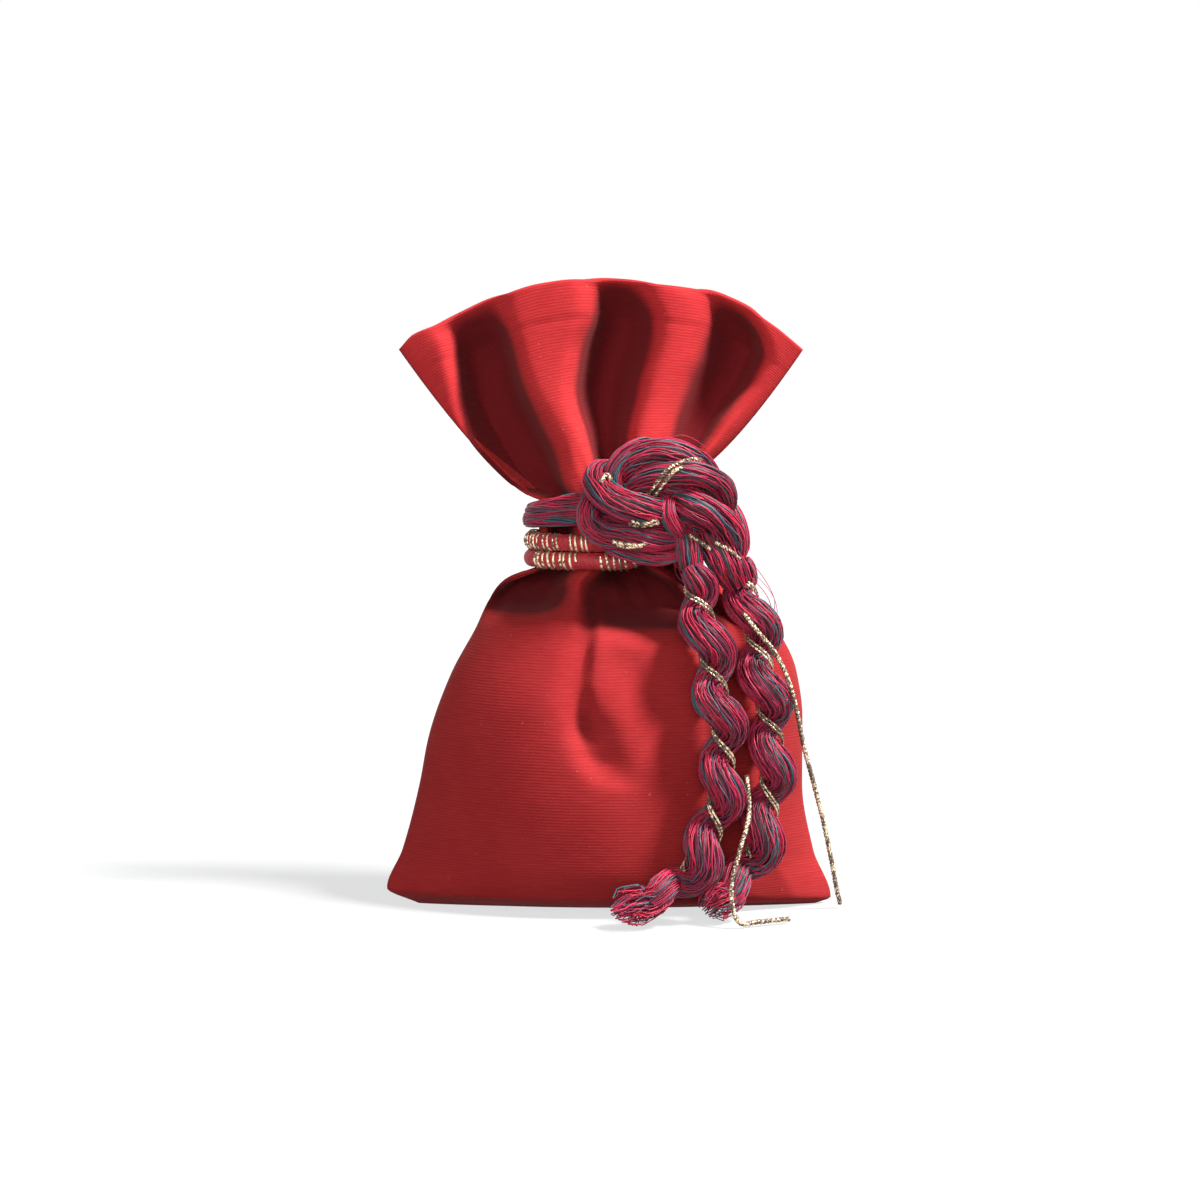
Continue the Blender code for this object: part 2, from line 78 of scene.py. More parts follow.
def smooth_through(stations: Stations, at: np.ndarray) -> np.ndarray:
    """Reads a smooth curve through stations, with no overshoot between them.

    Args:
        stations: (place, value) pairs in rising order of place.
        at: Places to read.

    Returns:
        The curve's value at each place.
    """
    x = np.array([s[0] for s in stations], float)
    y = np.array([s[1] for s in stations], float)
    step = np.diff(x)
    rise = np.diff(y) / step
    slope = np.zeros_like(y)
    both = rise[:-1] * rise[1:] > 0
    weight = (2 * step[1:] + step[:-1], step[1:] + 2 * step[:-1])
    before, after = np.where(both, rise[:-1], 1), np.where(both, rise[1:], 1)
    inner = (weight[0] + weight[1]) / (weight[0] / before + weight[1] / after)
    slope[1:-1] = np.where(both, inner, 0)
    slope[0], slope[-1] = rise[0], rise[-1]
    at = np.clip(np.asarray(at, float), x[0], x[-1])
    i = np.clip(np.searchsorted(x, at) - 1, 0, len(step) - 1)
    t = (at - x[i]) / step[i]
    return (
        y[i] * (1 + 2 * t) * (1 - t) ** 2
        + slope[i] * step[i] * t * (1 - t) ** 2
        + y[i + 1] * t * t * (3 - 2 * t)
        + slope[i + 1] * step[i] * t * t * (t - 1)
    )


def run_along(path: np.ndarray) -> np.ndarray:
    """Length from the start of a path to each of its points."""
    return np.concatenate([[0], np.cumsum(np.linalg.norm(np.diff(path, axis=0), axis=1))])


def curve_through(route: Sequence[Point], spacing: float) -> np.ndarray:
    """Reads evenly spaced points from a smooth curve through a route.

    Args:
        route: The points that the curve goes through.
        spacing: Distance between the points that are read, in metres.

    Returns:
        The points, one row each.
    """
    points = np.array(route, float)
    ends = np.vstack([2 * points[0] - points[1], points, 2 * points[-1] - points[-2]])
    steps = 24
    fine = []
    for a, b, c, d in zip(ends, ends[1:], ends[2:], ends[3:]):
        for t in np.linspace(0, 1, steps, endpoint=False):
            bend = 2 * a - 5 * b + 4 * c - d
            fine.append(0.5 * (2 * b + (c - a) * t + bend * t**2 + (3 * b - a - 3 * c + d) * t**3))
    line = np.array(fine + [points[-1]])
    run = run_along(line)
    at = np.linspace(0, run[-1], max(int(run[-1] / spacing) + 1, 4))
    return np.stack([np.interp(at, run, line[:, k]) for k in range(3)], axis=1)


def path_frame(path: np.ndarray, side: np.ndarray) -> tuple[np.ndarray, np.ndarray]:
    """Finds two directions across a path at each of its points.

    Args:
        path: Points of the path.
        side: The direction that the first of the two keeps to.

    Returns:
        The first and the second direction, as rows.
    """
    along = np.gradient(path, axis=0)
    along /= np.linalg.norm(along, axis=1, keepdims=True)
    first = side - (along @ side)[:, None] * along
    first /= np.linalg.norm(first, axis=1, keepdims=True)
    return first, np.cross(along, first)


def new_object(name: str, mesh: bpy.types.Mesh) -> bpy.types.Object:
    """Puts a mesh in the scene as an object at the origin.

    Args:
        name: The object's name.
        mesh: The mesh.

    Returns:
        The object.
    """
    thing = bpy.data.objects.new(name, mesh)
    bpy.context.scene.collection.objects.link(thing)
    return thing


def plain_copy(thing: bpy.types.Object) -> bpy.types.Mesh:
    """Makes a plain mesh of what an object evaluates to.

    Args:
        thing: The object, with its modifiers.

    Returns:
        The mesh.
    """
    bpy.context.view_layer.update()
    graph = bpy.context.evaluated_depsgraph_get()
    return bpy.data.meshes.new_from_object(thing.evaluated_get(graph))


def settle(thing: bpy.types.Object) -> None:
    """Turns what an object's modifiers make into its own mesh, and removes them.

    Args:
        thing: The object.
    """
    mesh = plain_copy(thing)
    thing.modifiers.clear()
    thing.data = mesh


def finished(piece: bpy.types.Object, slot: str, *nodes: str) -> bpy.types.Object:
    """Puts a piece on the pouch's body and reports it.

    Args:
        piece: The finished piece.
        slot: A material slot of the record; not used.
        nodes: The solids that it stands for.

    Returns:
        The piece.
    """
    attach(piece, BODY)
    if nodes:
        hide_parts(*nodes)
    log.info("%s: %d faces", piece.name, len(piece.data.polygons))
    return piece


# Node trees


class NodeTree:
    """Makes nodes and links in one tree, with few words."""

    def __init__(self, tree: bpy.types.NodeTree) -> None:
        """Keeps the tree that nodes are added to."""
        self.tree = tree

    def add(self, kind: str, settings: dict | None = None, **inputs: object) -> bpy.types.Node:
        """Adds a node.

        Args:
            kind: The node's type name.
            settings: Properties of the node.
            inputs: Values or sockets for inputs. A name's underscores are spaces, and a name such
                as i0 means the input with that number.

        Returns:
            The node.
        """
        node = self.tree.nodes.new(kind)
        for name, value in (settings or {}).items():
            setattr(node, name, value)
        for name, value in inputs.items():
            number = name[1:] if name[0] == "i" and name[1:].isdigit() else None
            socket = node.inputs[int(number)] if number else node.inputs[name.replace("_", " ")]
            self.feed(socket, value)
        node.location = (180 * (len(self.tree.nodes) % 12), -220 * (len(self.tree.nodes) // 12))
        return node

    def feed(self, socket: bpy.types.NodeSocket, value: object) -> None:
        """Links a socket to another, or sets its value.

        Args:
            socket: The input.
            value: A socket that it reads, or its own value.
        """
        if isinstance(value, bpy.types.NodeSocket):
            self.tree.links.new(value, socket)
        else:
            socket.default_value = value

    def maths(self, operation: str, a: object, b: object = 0.0, c: object = 0.0) -> bpy.types.NodeSocket:
        """The result of a Math node."""
        return self.add("ShaderNodeMath", {"operation": operation}, i0=a, i1=b, i2=c).outputs[0]

    def wave(self, place: object, pitch: object) -> bpy.types.NodeSocket:
        """A sine wave from 0 to 1.

        Args:
            place: Place along the wave.
            pitch: Length of one wave.

        Returns:
            The wave's height.
        """
        turn = self.maths("MULTIPLY", self.maths("DIVIDE", place, pitch), 2 * math.pi)
        return self.maths("ADD", 0.5, self.maths("MULTIPLY", self.maths("SINE", turn), 0.5))

    def vector(self, operation: str, a: object, b: object = (0, 0, 0)) -> bpy.types.NodeSocket:
        """The vector that a Vector Math node puts out."""
        return self.add("ShaderNodeVectorMath", {"operation": operation}, i0=a, i1=b).outputs[0]

    def scaled(self, a: object, factor: object) -> bpy.types.NodeSocket:
        """Multiplies a vector by a number.

        Args:
            a: The vector.
            factor: The number.

        Returns:
            The product's socket.
        """
        node = self.add("ShaderNodeVectorMath", {"operation": "SCALE"}, i0=a)
        self.feed(node.inputs["Scale"], factor)
        return node.outputs[0]

    def joined(self, x: object = 0.0, y: object = 0.0, z: object = 0.0) -> bpy.types.NodeSocket:
        """A vector of three numbers."""
        return self.add("ShaderNodeCombineXYZ", i0=x, i1=y, i2=z).outputs[0]

    def split(self, vector: object) -> Sequence[bpy.types.NodeSocket]:
        """The three numbers of a vector."""
        return self.add("ShaderNodeSeparateXYZ", i0=vector).outputs

    def noise(self, vector: object, scale: float, detail: float = 2.0) -> bpy.types.NodeSocket:
        """A noise value from 0 to 1."""
        return self.add("ShaderNodeTexNoise", Vector=vector, Scale=scale, Detail=detail).outputs[0]

    def sway(self, vector: object, scale: float, detail: float, reach: float) -> bpy.types.NodeSocket:
        """A noise value that goes to both sides of 0.

        Args:
            vector: Where the noise is read.
            scale: The noise's scale.
            detail: The noise's detail.
            reach: How far it goes from its lowest to its highest.

        Returns:
            The value's socket.
        """
        return self.maths("MULTIPLY", self.maths("SUBTRACT", self.noise(vector, scale, detail), 0.5), reach)

    def spread(self, value: object, low: float, high: float,
               to: tuple[float, float] = (0, 1)) -> bpy.types.NodeSocket:
        """Moves a value smoothly from one range to another.

        Args:
            value: The value.
            low: The start of its range.
            high: The end of its range.
            to: The range that it comes to.

        Returns:
            The moved value's socket.
        """
        node = self.add(
            "ShaderNodeMapRange", {"interpolation_type": "SMOOTHSTEP"},
            i0=value, i1=low, i2=high, i3=to[0], i4=to[1],
        )
        return node.outputs[0]

    def blend(self, factor: object, a: object, b: object) -> bpy.types.NodeSocket:
        """Mixes two colours.

        Args:
            factor: Share of the second colour.
            a: The first colour.
            b: The second colour.

        Returns:
            The mixed colour's socket.
        """
        node = self.add("ShaderNodeMix", {"data_type": "RGBA"})
        self.feed(node.inputs[0], factor)
        self.feed(node.inputs[6], a)
        self.feed(node.inputs[7], b)
        return node.outputs[2]

    def ramp(self, value: object, stops: Sequence[tuple[float, Point]],
             sharp: bool = False) -> bpy.types.NodeSocket:
        """Reads a colour from a ramp.

        Args:
            value: Place on the ramp, from 0 to 1.
            stops: (place, colour) pairs.
            sharp: Whether the colour jumps from one stop to the next.

        Returns:
            The colour's socket.
        """
        node = self.add("ShaderNodeValToRGB", i0=value)
        node.color_ramp.interpolation = "CONSTANT" if sharp else "LINEAR"
        elements = node.color_ramp.elements
        while len(elements) < len(stops):
            elements.new(1.0)
        for element, (place, colour) in zip(elements, stops):
            element.position = place
            element.color = (*colour, 1.0)
        return node.outputs[0]


class ThreadBundle:
    """The Geometry Nodes tree that grows bundles of thread along guide lines.

    Each guide line carries fullness, the bundle's radius at each point, and bundle, its number.
    Every thread has a number of its own, from which its chances are drawn with a fixed seed.
    """

    numbers_per_bundle: float = 137.0
    golden_angle: float = 2.39996
    sunk_from: tuple[float, float] = (0.70, 0.74)
    sunk_share: float = 0.12
    tint_spread: float = 0.22
    thinnest: float = 0.8
    girth_spread: float = 0.4
    thread_sides: int = 4
    core_sides: int = 12

    def __init__(self) -> None:
        """Builds the tree."""
        self.group = bpy.data.node_groups.new("thread_bundle", "GeometryNodeTree")
        self.names: dict[str, str] = {}
        self._socket("Geometry", "NodeSocketGeometry")
        self._socket("Thread Diameter", "NodeSocketFloat", 0.4 * MM)
        self._socket("Spacing", "NodeSocketFloat", 0.4 * MM)
        self._socket("Twist", "NodeSocketFloat", 0.0)
        self._socket("Wander", "NodeSocketFloat", 0.5)
        self._socket("Looseness", "NodeSocketFloat", 0.12)
        self._socket("Core Share", "NodeSocketFloat", 0.8)
        self._socket("Fray", "NodeSocketFloat", 0.0)
        self._socket("Seed", "NodeSocketInt", 1)
        self._socket("Material", "NodeSocketMaterial")
        self.group.interface.new_socket("Geometry", in_out="OUTPUT", socket_type="NodeSocketGeometry")
        self._build()

    def _socket(self, name: str, kind: str, value: object = None) -> None:
        """Adds a named input to the tree.

        Args:
            name: The input's name.
            kind: The socket's type name.
            value: Its value where none is given, or None.
        """
        item = self.group.interface.new_socket(name, in_out="INPUT", socket_type=kind)
        if value is not None:
            item.default_value = value
        self.names[name] = item.identifier

    def _build(self) -> None:
        """Adds the nodes that place each thread round its guide line and give it a thickness."""
        t = NodeTree(self.group)
        given = t.add("NodeGroupInput").outputs
        guide = t.add("GeometryNodeMeshToCurve", i0=given["Geometry"]).outputs[0]
        kind = {"data_type": "FLOAT"}
        fullness = t.add("GeometryNodeInputNamedAttribute", kind, i0="fullness").outputs[0]
        bundle = t.add("GeometryNodeInputNamedAttribute", kind, i0="bundle").outputs[0]

        # As many threads as fit round the bundle, each with a number of its own
        around = t.maths("MULTIPLY", fullness, 2 * math.pi)
        amount = t.maths("ROUND", t.maths("DIVIDE", around, given["Spacing"]))
        amount = t.maths("MAXIMUM", amount, 1.0)
        copies = t.add("GeometryNodeDuplicateElements", {"domain": "SPLINE"}, Geometry=guide, Amount=amount)
        own = t.maths("ADD", copies.outputs[1], t.maths("MULTIPLY", bundle, self.numbers_per_bundle))
        length = t.add("GeometryNodeSplineParameter").outputs["Length"]

        def chance(seed: int) -> bpy.types.NodeSocket:
            """Draws a number from 0 to 1 that is the same along one thread.

            Args:
                seed: What is added to the tree's own seed.

            Returns:
                The number's socket.
            """
            pick = t.add("FunctionNodeRandomValue", kind, ID=own)
            t.feed(pick.inputs["Seed"], t.maths("ADD", given["Seed"], float(seed)))
            return pick.outputs[1]

        def drift(per_metre: float, per_thread: float, above: float) -> bpy.types.NodeSocket:
            """Makes a slow change along each thread, from -0.5 to 0.5.

            Args:
                per_metre: How fast it changes along a thread.
                per_thread: How far apart two threads are in the noise.
                above: The height at which the noise is read.

            Returns:
                The value's socket.
            """
            ahead = t.maths("MULTIPLY", length, per_metre)
            aside = t.maths("MULTIPLY", own, per_thread)
            return t.sway(t.joined(ahead, aside, above), 1.0, 2.0, 1.0)

        # Each thread has its own angle and depth in the bundle, and both change slowly along it
        start = t.maths("MULTIPLY", own, self.golden_angle)
        twist = t.maths("MULTIPLY", length, t.maths("MULTIPLY", given["Twist"], 2 * math.pi))
        wander = t.maths("MULTIPLY", drift(150.0, 3.17, 0.0), given["Wander"])
        angle = t.maths("ADD", t.maths("ADD", start, twist), wander)
        share = t.maths("SUBTRACT", 1.0, t.maths("MULTIPLY", chance(5), given["Looseness"]))
        sunk = t.maths("MULTIPLY", t.spread(chance(3), *self.sunk_from), self.sunk_share)
        lift = t.maths("MULTIPLY", drift(210.0, 5.71, 9.0), t.maths("MULTIPLY", given["Looseness"], 2.0))
        share = t.maths("ADD", t.maths("SUBTRACT", share, sunk), lift)
        normal = t.add("GeometryNodeInputNormal").outputs[0]
        across = t.vector("CROSS_PRODUCT", t.add("GeometryNodeInputTangent").outputs[0], normal)
        ahead = t.scaled(normal, t.maths("COSINE", angle))
        out = t.vector("ADD", ahead, t.scaled(across, t.maths("SINE", angle)))
        offset = t.scaled(out, t.maths("MULTIPLY", fullness, share))
        moved = t.add("GeometryNodeSetPosition", Geometry=copies.outputs[0], Offset=offset)

        # Threads that lie side by side have nearly the same tint
        wheel = t.joined(t.maths("COSINE", start), t.maths("SINE", start), t.maths("MULTIPLY", bundle, 4.3))
        own_tint = t.maths("MULTIPLY", t.maths("SUBTRACT", chance(9), 0.5), self.tint_spread)
        tint = t.maths("ADD", t.noise(wheel, 2.1, 1.0), own_tint)
        marked = self._stored(t, moved.outputs[0], "tint", tint)
        marked = self._stored(t, marked, "along", length)

        # The frayed ends are cut by chance, and every thread is swept into a tube round a plain core
        cut = t.add("GeometryNodeTrimCurve", {"mode": "FACTOR"}, Curve=marked)
        t.feed(cut.inputs["End"], t.maths("SUBTRACT", 1.0, t.maths("MULTIPLY", given["Fray"], chance(13))))
        girth = t.maths("ADD", self.thinnest, t.maths("MULTIPLY", chance(11), self.girth_spread))
        radius = t.maths("MULTIPLY", given["Thread Diameter"], 0.5)
        threads = self._tubes(t, cut.outputs[0], self.thread_sides, radius, girth)
        # The core keeps tint 0, which the skein's material colours near-black: painted shade inside the
        # bundle, between its threads.
        core_girth = t.maths("MULTIPLY", fullness, given["Core Share"])
        core = self._tubes(t, self._stored(t, guide, "tint", 0.0), self.core_sides, 1.0, core_girth)
        whole = t.add("GeometryNodeJoinGeometry")
        t.tree.links.new(threads, whole.inputs[0])
        t.tree.links.new(core, whole.inputs[0])
        real = t.add("GeometryNodeRealizeInstances", i0=whole.outputs[0])
        dressed = t.add("GeometryNodeSetMaterial", Geometry=real.outputs[0], Material=given["Material"])
        smooth = t.add("GeometryNodeSetShadeSmooth", Geometry=dressed.outputs[0], Shade_Smooth=True)
        t.add("NodeGroupOutput", i0=smooth.outputs[0])

    @staticmethod
    def _tubes(t: NodeTree, curves: object, sides: int, radius: object,
               girth: object) -> bpy.types.NodeSocket:
        """Sweeps a ring along curves.

        Args:
            t: The tree.
            curves: The curves.
            sides: Number of sides of the ring.
            radius: The ring's radius.
            girth: What the radius is multiplied by along the curves.

        Returns:
            The tubes' socket.
        """
        ring = t.add("GeometryNodeCurvePrimitiveCircle", Resolution=sides)
        t.feed(ring.inputs["Radius"], radius)
        tubes = t.add(
            "GeometryNodeCurveToMesh", Curve=curves, Profile_Curve=ring.outputs[0], Scale=girth,
            Fill_Caps=True,
        )
        return tubes.outputs[0]

    @staticmethod
    def _stored(t: NodeTree, geometry: object, name: str, value: object) -> bpy.types.NodeSocket:
        """Stores a number at the points of a geometry.

        Args:
            t: The tree.
            geometry: The geometry.
            name: The attribute's name.
            value: The number.

        Returns:
            The geometry with its attribute.
        """
        node = t.add(
            "GeometryNodeStoreNamedAttribute", {"data_type": "FLOAT", "domain": "POINT"},
            Geometry=geometry, Name=name, Value=value,
        )
        return node.outputs[0]

    def grow(self, name: str, guides: Sequence["Guide"], material: bpy.types.Material,
             **values: float) -> bpy.types.Object:
        """Grows threads along guides.

        Args:
            name: The new object's name.
            guides: The guide lines.
            material: The threads' material.
            values: Values for the tree's inputs, with underscores for spaces.

        Returns:
            An object with the threads as its plain mesh.
        """
        thing = new_object(name, guide_mesh(name, guides))
        modifier = thing.modifiers.new("threads", "NODES")
        modifier.node_group = self.group
        modifier[self.names["Material"]] = material
        for key, value in values.items():
            modifier[self.names[key.replace("_", " ")]] = value
        settle(thing)
        return thing


@dataclass(frozen=True)
class Guide:
    """A line that a bundle of thread grows along, with the bundle's radius at each point."""

    path: np.ndarray
    radius: np.ndarray
    number: int = 0


def guide_mesh(name: str, guides: Sequence[Guide]) -> bpy.types.Mesh:
    """Makes one mesh of edges from guide lines, with their radius and number as attributes.

    Args:
        name: The mesh's name.
        guides: The guide lines.

    Returns:
        The mesh.
    """
    points = np.concatenate([g.path for g in guides])
    edges, first = [], 0
    for guide in guides:
        count = len(guide.path)
        edges += [(first + i, first + i + 1) for i in range(count - 1)]
        first += count
    mesh = bpy.data.meshes.new(name)
    mesh.from_pydata(points.tolist(), edges, [])
    full = mesh.attributes.new("fullness", "FLOAT", "POINT")
    full.data.foreach_set("value", np.concatenate([g.radius for g in guides]).astype(np.float32))
    number = mesh.attributes.new("bundle", "FLOAT", "POINT")
    numbers = np.concatenate([np.full(len(g.path), float(g.number)) for g in guides])
    number.data.foreach_set("value", numbers.astype(np.float32))
    return mesh


# Finishes


def principled(name: str, **values: object) -> tuple[bpy.types.Material, NodeTree, bpy.types.Node]:
    """A new material with its Principled shader.

    Args:
        name: The material's name.
        values: Values for the shader's own inputs, with underscores for spaces.

    Returns:
        The material, its tree and its shader.
    """
    material = bpy.data.materials.new(name)
    material.use_nodes = True
    tree = NodeTree(material.node_tree)
    shader = material.node_tree.nodes["Principled BSDF"]
    for key, value in values.items():
        shader.inputs[key.replace("_", " ")].default_value = value
    return material, tree, shader


def effect_group(name: str, inputs: Sequence[tuple[str, str]], outputs: Sequence[tuple[str, str]],
                 build: Callable[[NodeTree, object], dict[str, object]]) -> bpy.types.NodeTree:
    """A shader node group that several materials may use.

    Args:
        name: The group's name.
        inputs: (name, kind) of each input, such as ("Pitch", "Float").
        outputs: (name, kind) of each output.
        build: Adds the nodes and returns the socket for each output's name.

    Returns:
        The group.
    """
    group = bpy.data.node_groups.new(name, "ShaderNodeTree")
    for label, kind in inputs:
        group.interface.new_socket(label, in_out="INPUT", socket_type=f"NodeSocket{kind}")
    for label, kind in outputs:
        group.interface.new_socket(label, in_out="OUTPUT", socket_type=f"NodeSocket{kind}")
    tree = NodeTree(group)
    made = build(tree, tree.add("NodeGroupInput").outputs)
    end = tree.add("NodeGroupOutput")
    for label, socket in made.items():
        tree.feed(end.inputs[label], socket)
    return group


def rib_weave() -> bpy.types.NodeTree:
    """Makes the group for ribbed cloth: ribs crossed by fine threads, with slubs and lint.

    Returns:
        The group.
    """

    def build(t: NodeTree, given: object) -> dict[str, object]:
        """Adds the ribs, cross threads and flaws.

        Args:
            t: The group's tree.
            given: The group's inputs.

        Returns:
            The socket for each output's name.
        """
        u, v, _ = t.split(given["Place"])
        waver = t.maths("MULTIPLY", t.sway(given["Place"], 90.0, 2.0, 1.0), given["Waver"])
        rib = t.wave(t.maths("ADD", v, waver), given["Rib Pitch"])
        cross = t.wave(u, given["Thread Pitch"])
        slub_place = t.joined(t.maths("MULTIPLY", u, 260.0), t.maths("MULTIPLY", v, 1750.0))
        slub = t.noise(slub_place, 1.0, 3.0)
        grain = t.noise(given["Place"], 2600.0, 2.0)
        height = t.maths("ADD", t.maths("MULTIPLY", rib, 0.50), t.maths("MULTIPLY", cross, 0.10))
        height = t.maths("ADD", height, t.maths("MULTIPLY", slub, 0.55))
        height = t.maths("ADD", height, t.maths("MULTIPLY", grain, 0.35))
        # Shade follows the relief of the ribs and slubs, so the colour that it sets is painted shade:
        # darker where the cloth lies low.
        shade = t.maths("ADD", t.maths("MULTIPLY", rib, 0.30), t.maths("MULTIPLY", slub, 0.8))
        lint = t.spread(t.noise(given["Place"], 900.0, 1.0), 0.74, 0.82)
        return {"Height": height, "Shade": shade, "Lint": lint}

    inputs = [("Place", "Vector"), ("Rib Pitch", "Float"), ("Thread Pitch", "Float"), ("Waver", "Float")]
    outputs = [("Height", "Float"), ("Shade", "Float"), ("Lint", "Float")]
    return effect_group("rib_weave", inputs, outputs, build)


def yarn_fibres() -> bpy.types.NodeTree:
    """Makes the group for spun thread: slanting fibres and soft changes of depth along it.

    Returns:
        The group.
    """

    def build(t: NodeTree, given: object) -> dict[str, object]:
        """Adds the fibres and the change of depth.

        Args:
            t: The group's tree.
            given: The group's inputs.

        Returns:
            The socket for each output's name.
        """
        stretched = t.vector("MULTIPLY", given["Place"], (1.0, 1.0, 0.35))
        fibres = t.noise(t.scaled(stretched, given["Fineness"]), 1.0, 2.0)
        patch = t.noise(given["Place"], 160.0, 2.0)
        # The fibre term of Shade is painted shade, darker where the fibres' relief is low; the slow patch
        # is the thread's own tone.
        shade = t.maths("ADD", t.maths("MULTIPLY", fibres, 0.5), t.maths("MULTIPLY", patch, 0.6))
        return {"Height": fibres, "Shade": shade}

    inputs = [("Place", "Vector"), ("Fineness", "Float")]
    return effect_group("yarn_fibres", inputs, [("Height", "Float"), ("Shade", "Float")], build)


@dataclass(frozen=True)
class ClothFinish:
    """Red ribbed cotton, with painted shade that darkens it below the tie and in its folds."""

    rib_pitch: float = 0.57 * MM
    thread_pitch: float = 0.40 * MM
    waver: float = 0.22 * MM
    relief: float = 0.11 * MM
    light: Point = (0.680, 0.046, 0.048)
    deep: Point = (0.450, 0.018, 0.022)
    lint: Point = (0.9, 0.42, 0.34)
    lint_share: float = 0.25
    # Painted shade: below the tie the colour is scaled down to this share, fading out between these two
    # heights.
    body_painted_shade: float = 0.66
    painted_shade_heights: tuple[float, float] = (50.0 * MM, 90.0 * MM)
    # Painted shade in the folds: this near-black colour is mixed in where the cloth lies deep in a fold.
    painted_fold_shade: Point = (0.075, 0.002, 0.005)
    painted_shade_from: tuple[float, float] = (0.15, 0.46)
    painted_shade_share: float = 0.82

    def material(self) -> bpy.types.Material:
        """Builds the material, with the weave on the cloth's own UV map.

        Returns:
            The material.
        """
        material, t, shader = principled(
            "ribbed_red_cloth", Roughness=0.88, Sheen_Weight=0.10, Sheen_Roughness=0.45,
            Sheen_Tint=(1.0, 0.45, 0.4, 1.0), Specular_IOR_Level=0.2,
        )
        place = t.add("ShaderNodeUVMap", {"uv_map": "cloth"}).outputs[0]
        weave = t.add("ShaderNodeGroup", {"node_tree": rib_weave()}, Place=place,
                      Rib_Pitch=self.rib_pitch, Thread_Pitch=self.thread_pitch, Waver=self.waver)
        where = t.add("ShaderNodeTexCoord").outputs["Object"]
        patch = t.sway(where, 60.0, 3.0, 0.5)
        # The weave's Shade is painted shade of the ribs, and the slow patches are the cloth's own tone.
        tone_and_shade = t.maths("ADD", t.maths("MULTIPLY", weave.outputs["Shade"], 0.55), patch)
        colour = t.blend(t.spread(tone_and_shade, 0.0, 0.85), (*self.deep, 1), (*self.light, 1))
        lint = t.maths("MULTIPLY", weave.outputs["Lint"], self.lint_share)
        colour = t.blend(lint, colour, (*self.lint, 1))
        # Painted shade: the deeper a place lies in a fold, the more near-black is mixed into its colour,
        # with a wavy edge.
        depth = t.add("ShaderNodeAttribute", {"attribute_name": "painted_fold_shade"}).outputs["Fac"]
        depth = t.maths("ADD", depth, t.sway(where, 110.0, 1.0, 0.22))
        sunk = t.maths("MULTIPLY", t.spread(depth, *self.painted_shade_from), self.painted_shade_share)
        colour = t.blend(sunk, colour, (*self.painted_fold_shade, 1))
        # Painted shade: the cloth below the tie is darkened, and comes back to its full colour above it.
        tone_and_shade = t.spread(t.split(where)[2], *self.painted_shade_heights, (self.body_painted_shade, 1.0))
        t.feed(shader.inputs["Base Color"], t.scaled(colour, tone_and_shade))
        bump = t.add("ShaderNodeBump", Strength=0.40, Distance=self.relief, Height=weave.outputs["Height"])
        t.feed(shader.inputs["Normal"], bump.outputs[0])
        return material


@dataclass(frozen=True)
class SkeinFinish:
    """Loose thread in clustered colours, mostly crimson with plum, grey and blue-green, round near-black
    cores of painted shade.
    """

    name: str = "skein_thread"
    relief: float = 0.05 * MM
    fineness: float = 5200.0
    shaded: float = 0.45
    tints: tuple[tuple[float, Point], ...] = (
        # The first stop is the near-black of the bundles' plain cores: painted shade between the threads.
        (0.00, (0.050, 0.003, 0.012)),
        (0.22, (0.030, 0.150, 0.190)),
        (0.335, (0.110, 0.140, 0.165)),
        (0.375, (0.190, 0.016, 0.060)),
        (0.42, (0.540, 0.018, 0.068)),
        (0.50, (0.670, 0.022, 0.074)),
        (0.575, (0.340, 0.016, 0.066)),
        (0.61, (0.600, 0.040, 0.110)),
        (0.66, (0.160, 0.105, 0.140)),
        (0.70, (0.045, 0.210, 0.250)),
        (0.74, (0.500, 0.018, 0.072)),
    )

    def material(self) -> bpy.types.Material:
        """Builds the material, which reads each thread's own tint.

        Returns:
            The material.
        """
        material, t, shader = principled(
            self.name, Roughness=0.52, Sheen_Weight=0.16, Sheen_Roughness=0.35,
            Sheen_Tint=(1.0, 0.6, 0.7, 1.0), Specular_IOR_Level=0.35,
        )
        tint = t.add("ShaderNodeAttribute", {"attribute_name": "tint"}).outputs["Fac"]
        base = t.ramp(tint, self.tints, sharp=True)
        where = t.add("ShaderNodeTexCoord").outputs["Object"]
        yarn = t.add("ShaderNodeGroup", {"node_tree": yarn_fibres()}, Place=where, Fineness=self.fineness)
        # Painted shade between the fibres: the colour is darkened towards the shaded share where the yarn's
        # Shade is low.
        shade = t.spread(yarn.outputs["Shade"], 0.3, 0.75)
        t.feed(shader.inputs["Base Color"], t.blend(shade, t.scaled(base, self.shaded), base))
        bump = t.add("ShaderNodeBump", Strength=0.5, Distance=self.relief, Height=yarn.outputs["Height"])
        t.feed(shader.inputs["Normal"], bump.outputs[0])
        return material


@dataclass(frozen=True)
class GoldFinish:
    """Metal-wound thread that has darkened, with bright turns left."""

    name: str = "gold_thread"
    bright: Point = (0.82, 0.66, 0.45)
    dark: Point = (0.130, 0.078, 0.050)
    wear: float = 0.54
    relief: float = 0.06 * MM

    def material(self) -> bpy.types.Material:
        """Builds the material, with short bright turns between dark ones.

        Returns:
            The material.
        """
        material, t, shader = principled(self.name, Roughness=0.34, Specular_IOR_Level=0.5)
        where = t.add("ShaderNodeTexCoord").outputs["Object"]
        turns = t.noise(where, 2100.0, 1.0)
        show = t.maths("ADD", turns, t.sway(where, 330.0, 2.0, 0.7))
        mask = t.spread(show, self.wear - 0.07, self.wear + 0.05)
        t.feed(shader.inputs["Base Color"], t.blend(mask, (*self.dark, 1), (*self.bright, 1)))
        t.feed(shader.inputs["Metallic"], t.maths("MULTIPLY", mask, 0.85))
        bump = t.add("ShaderNodeBump", Strength=0.8, Distance=self.relief, Height=turns)
        t.feed(shader.inputs["Normal"], bump.outputs[0])
        return material


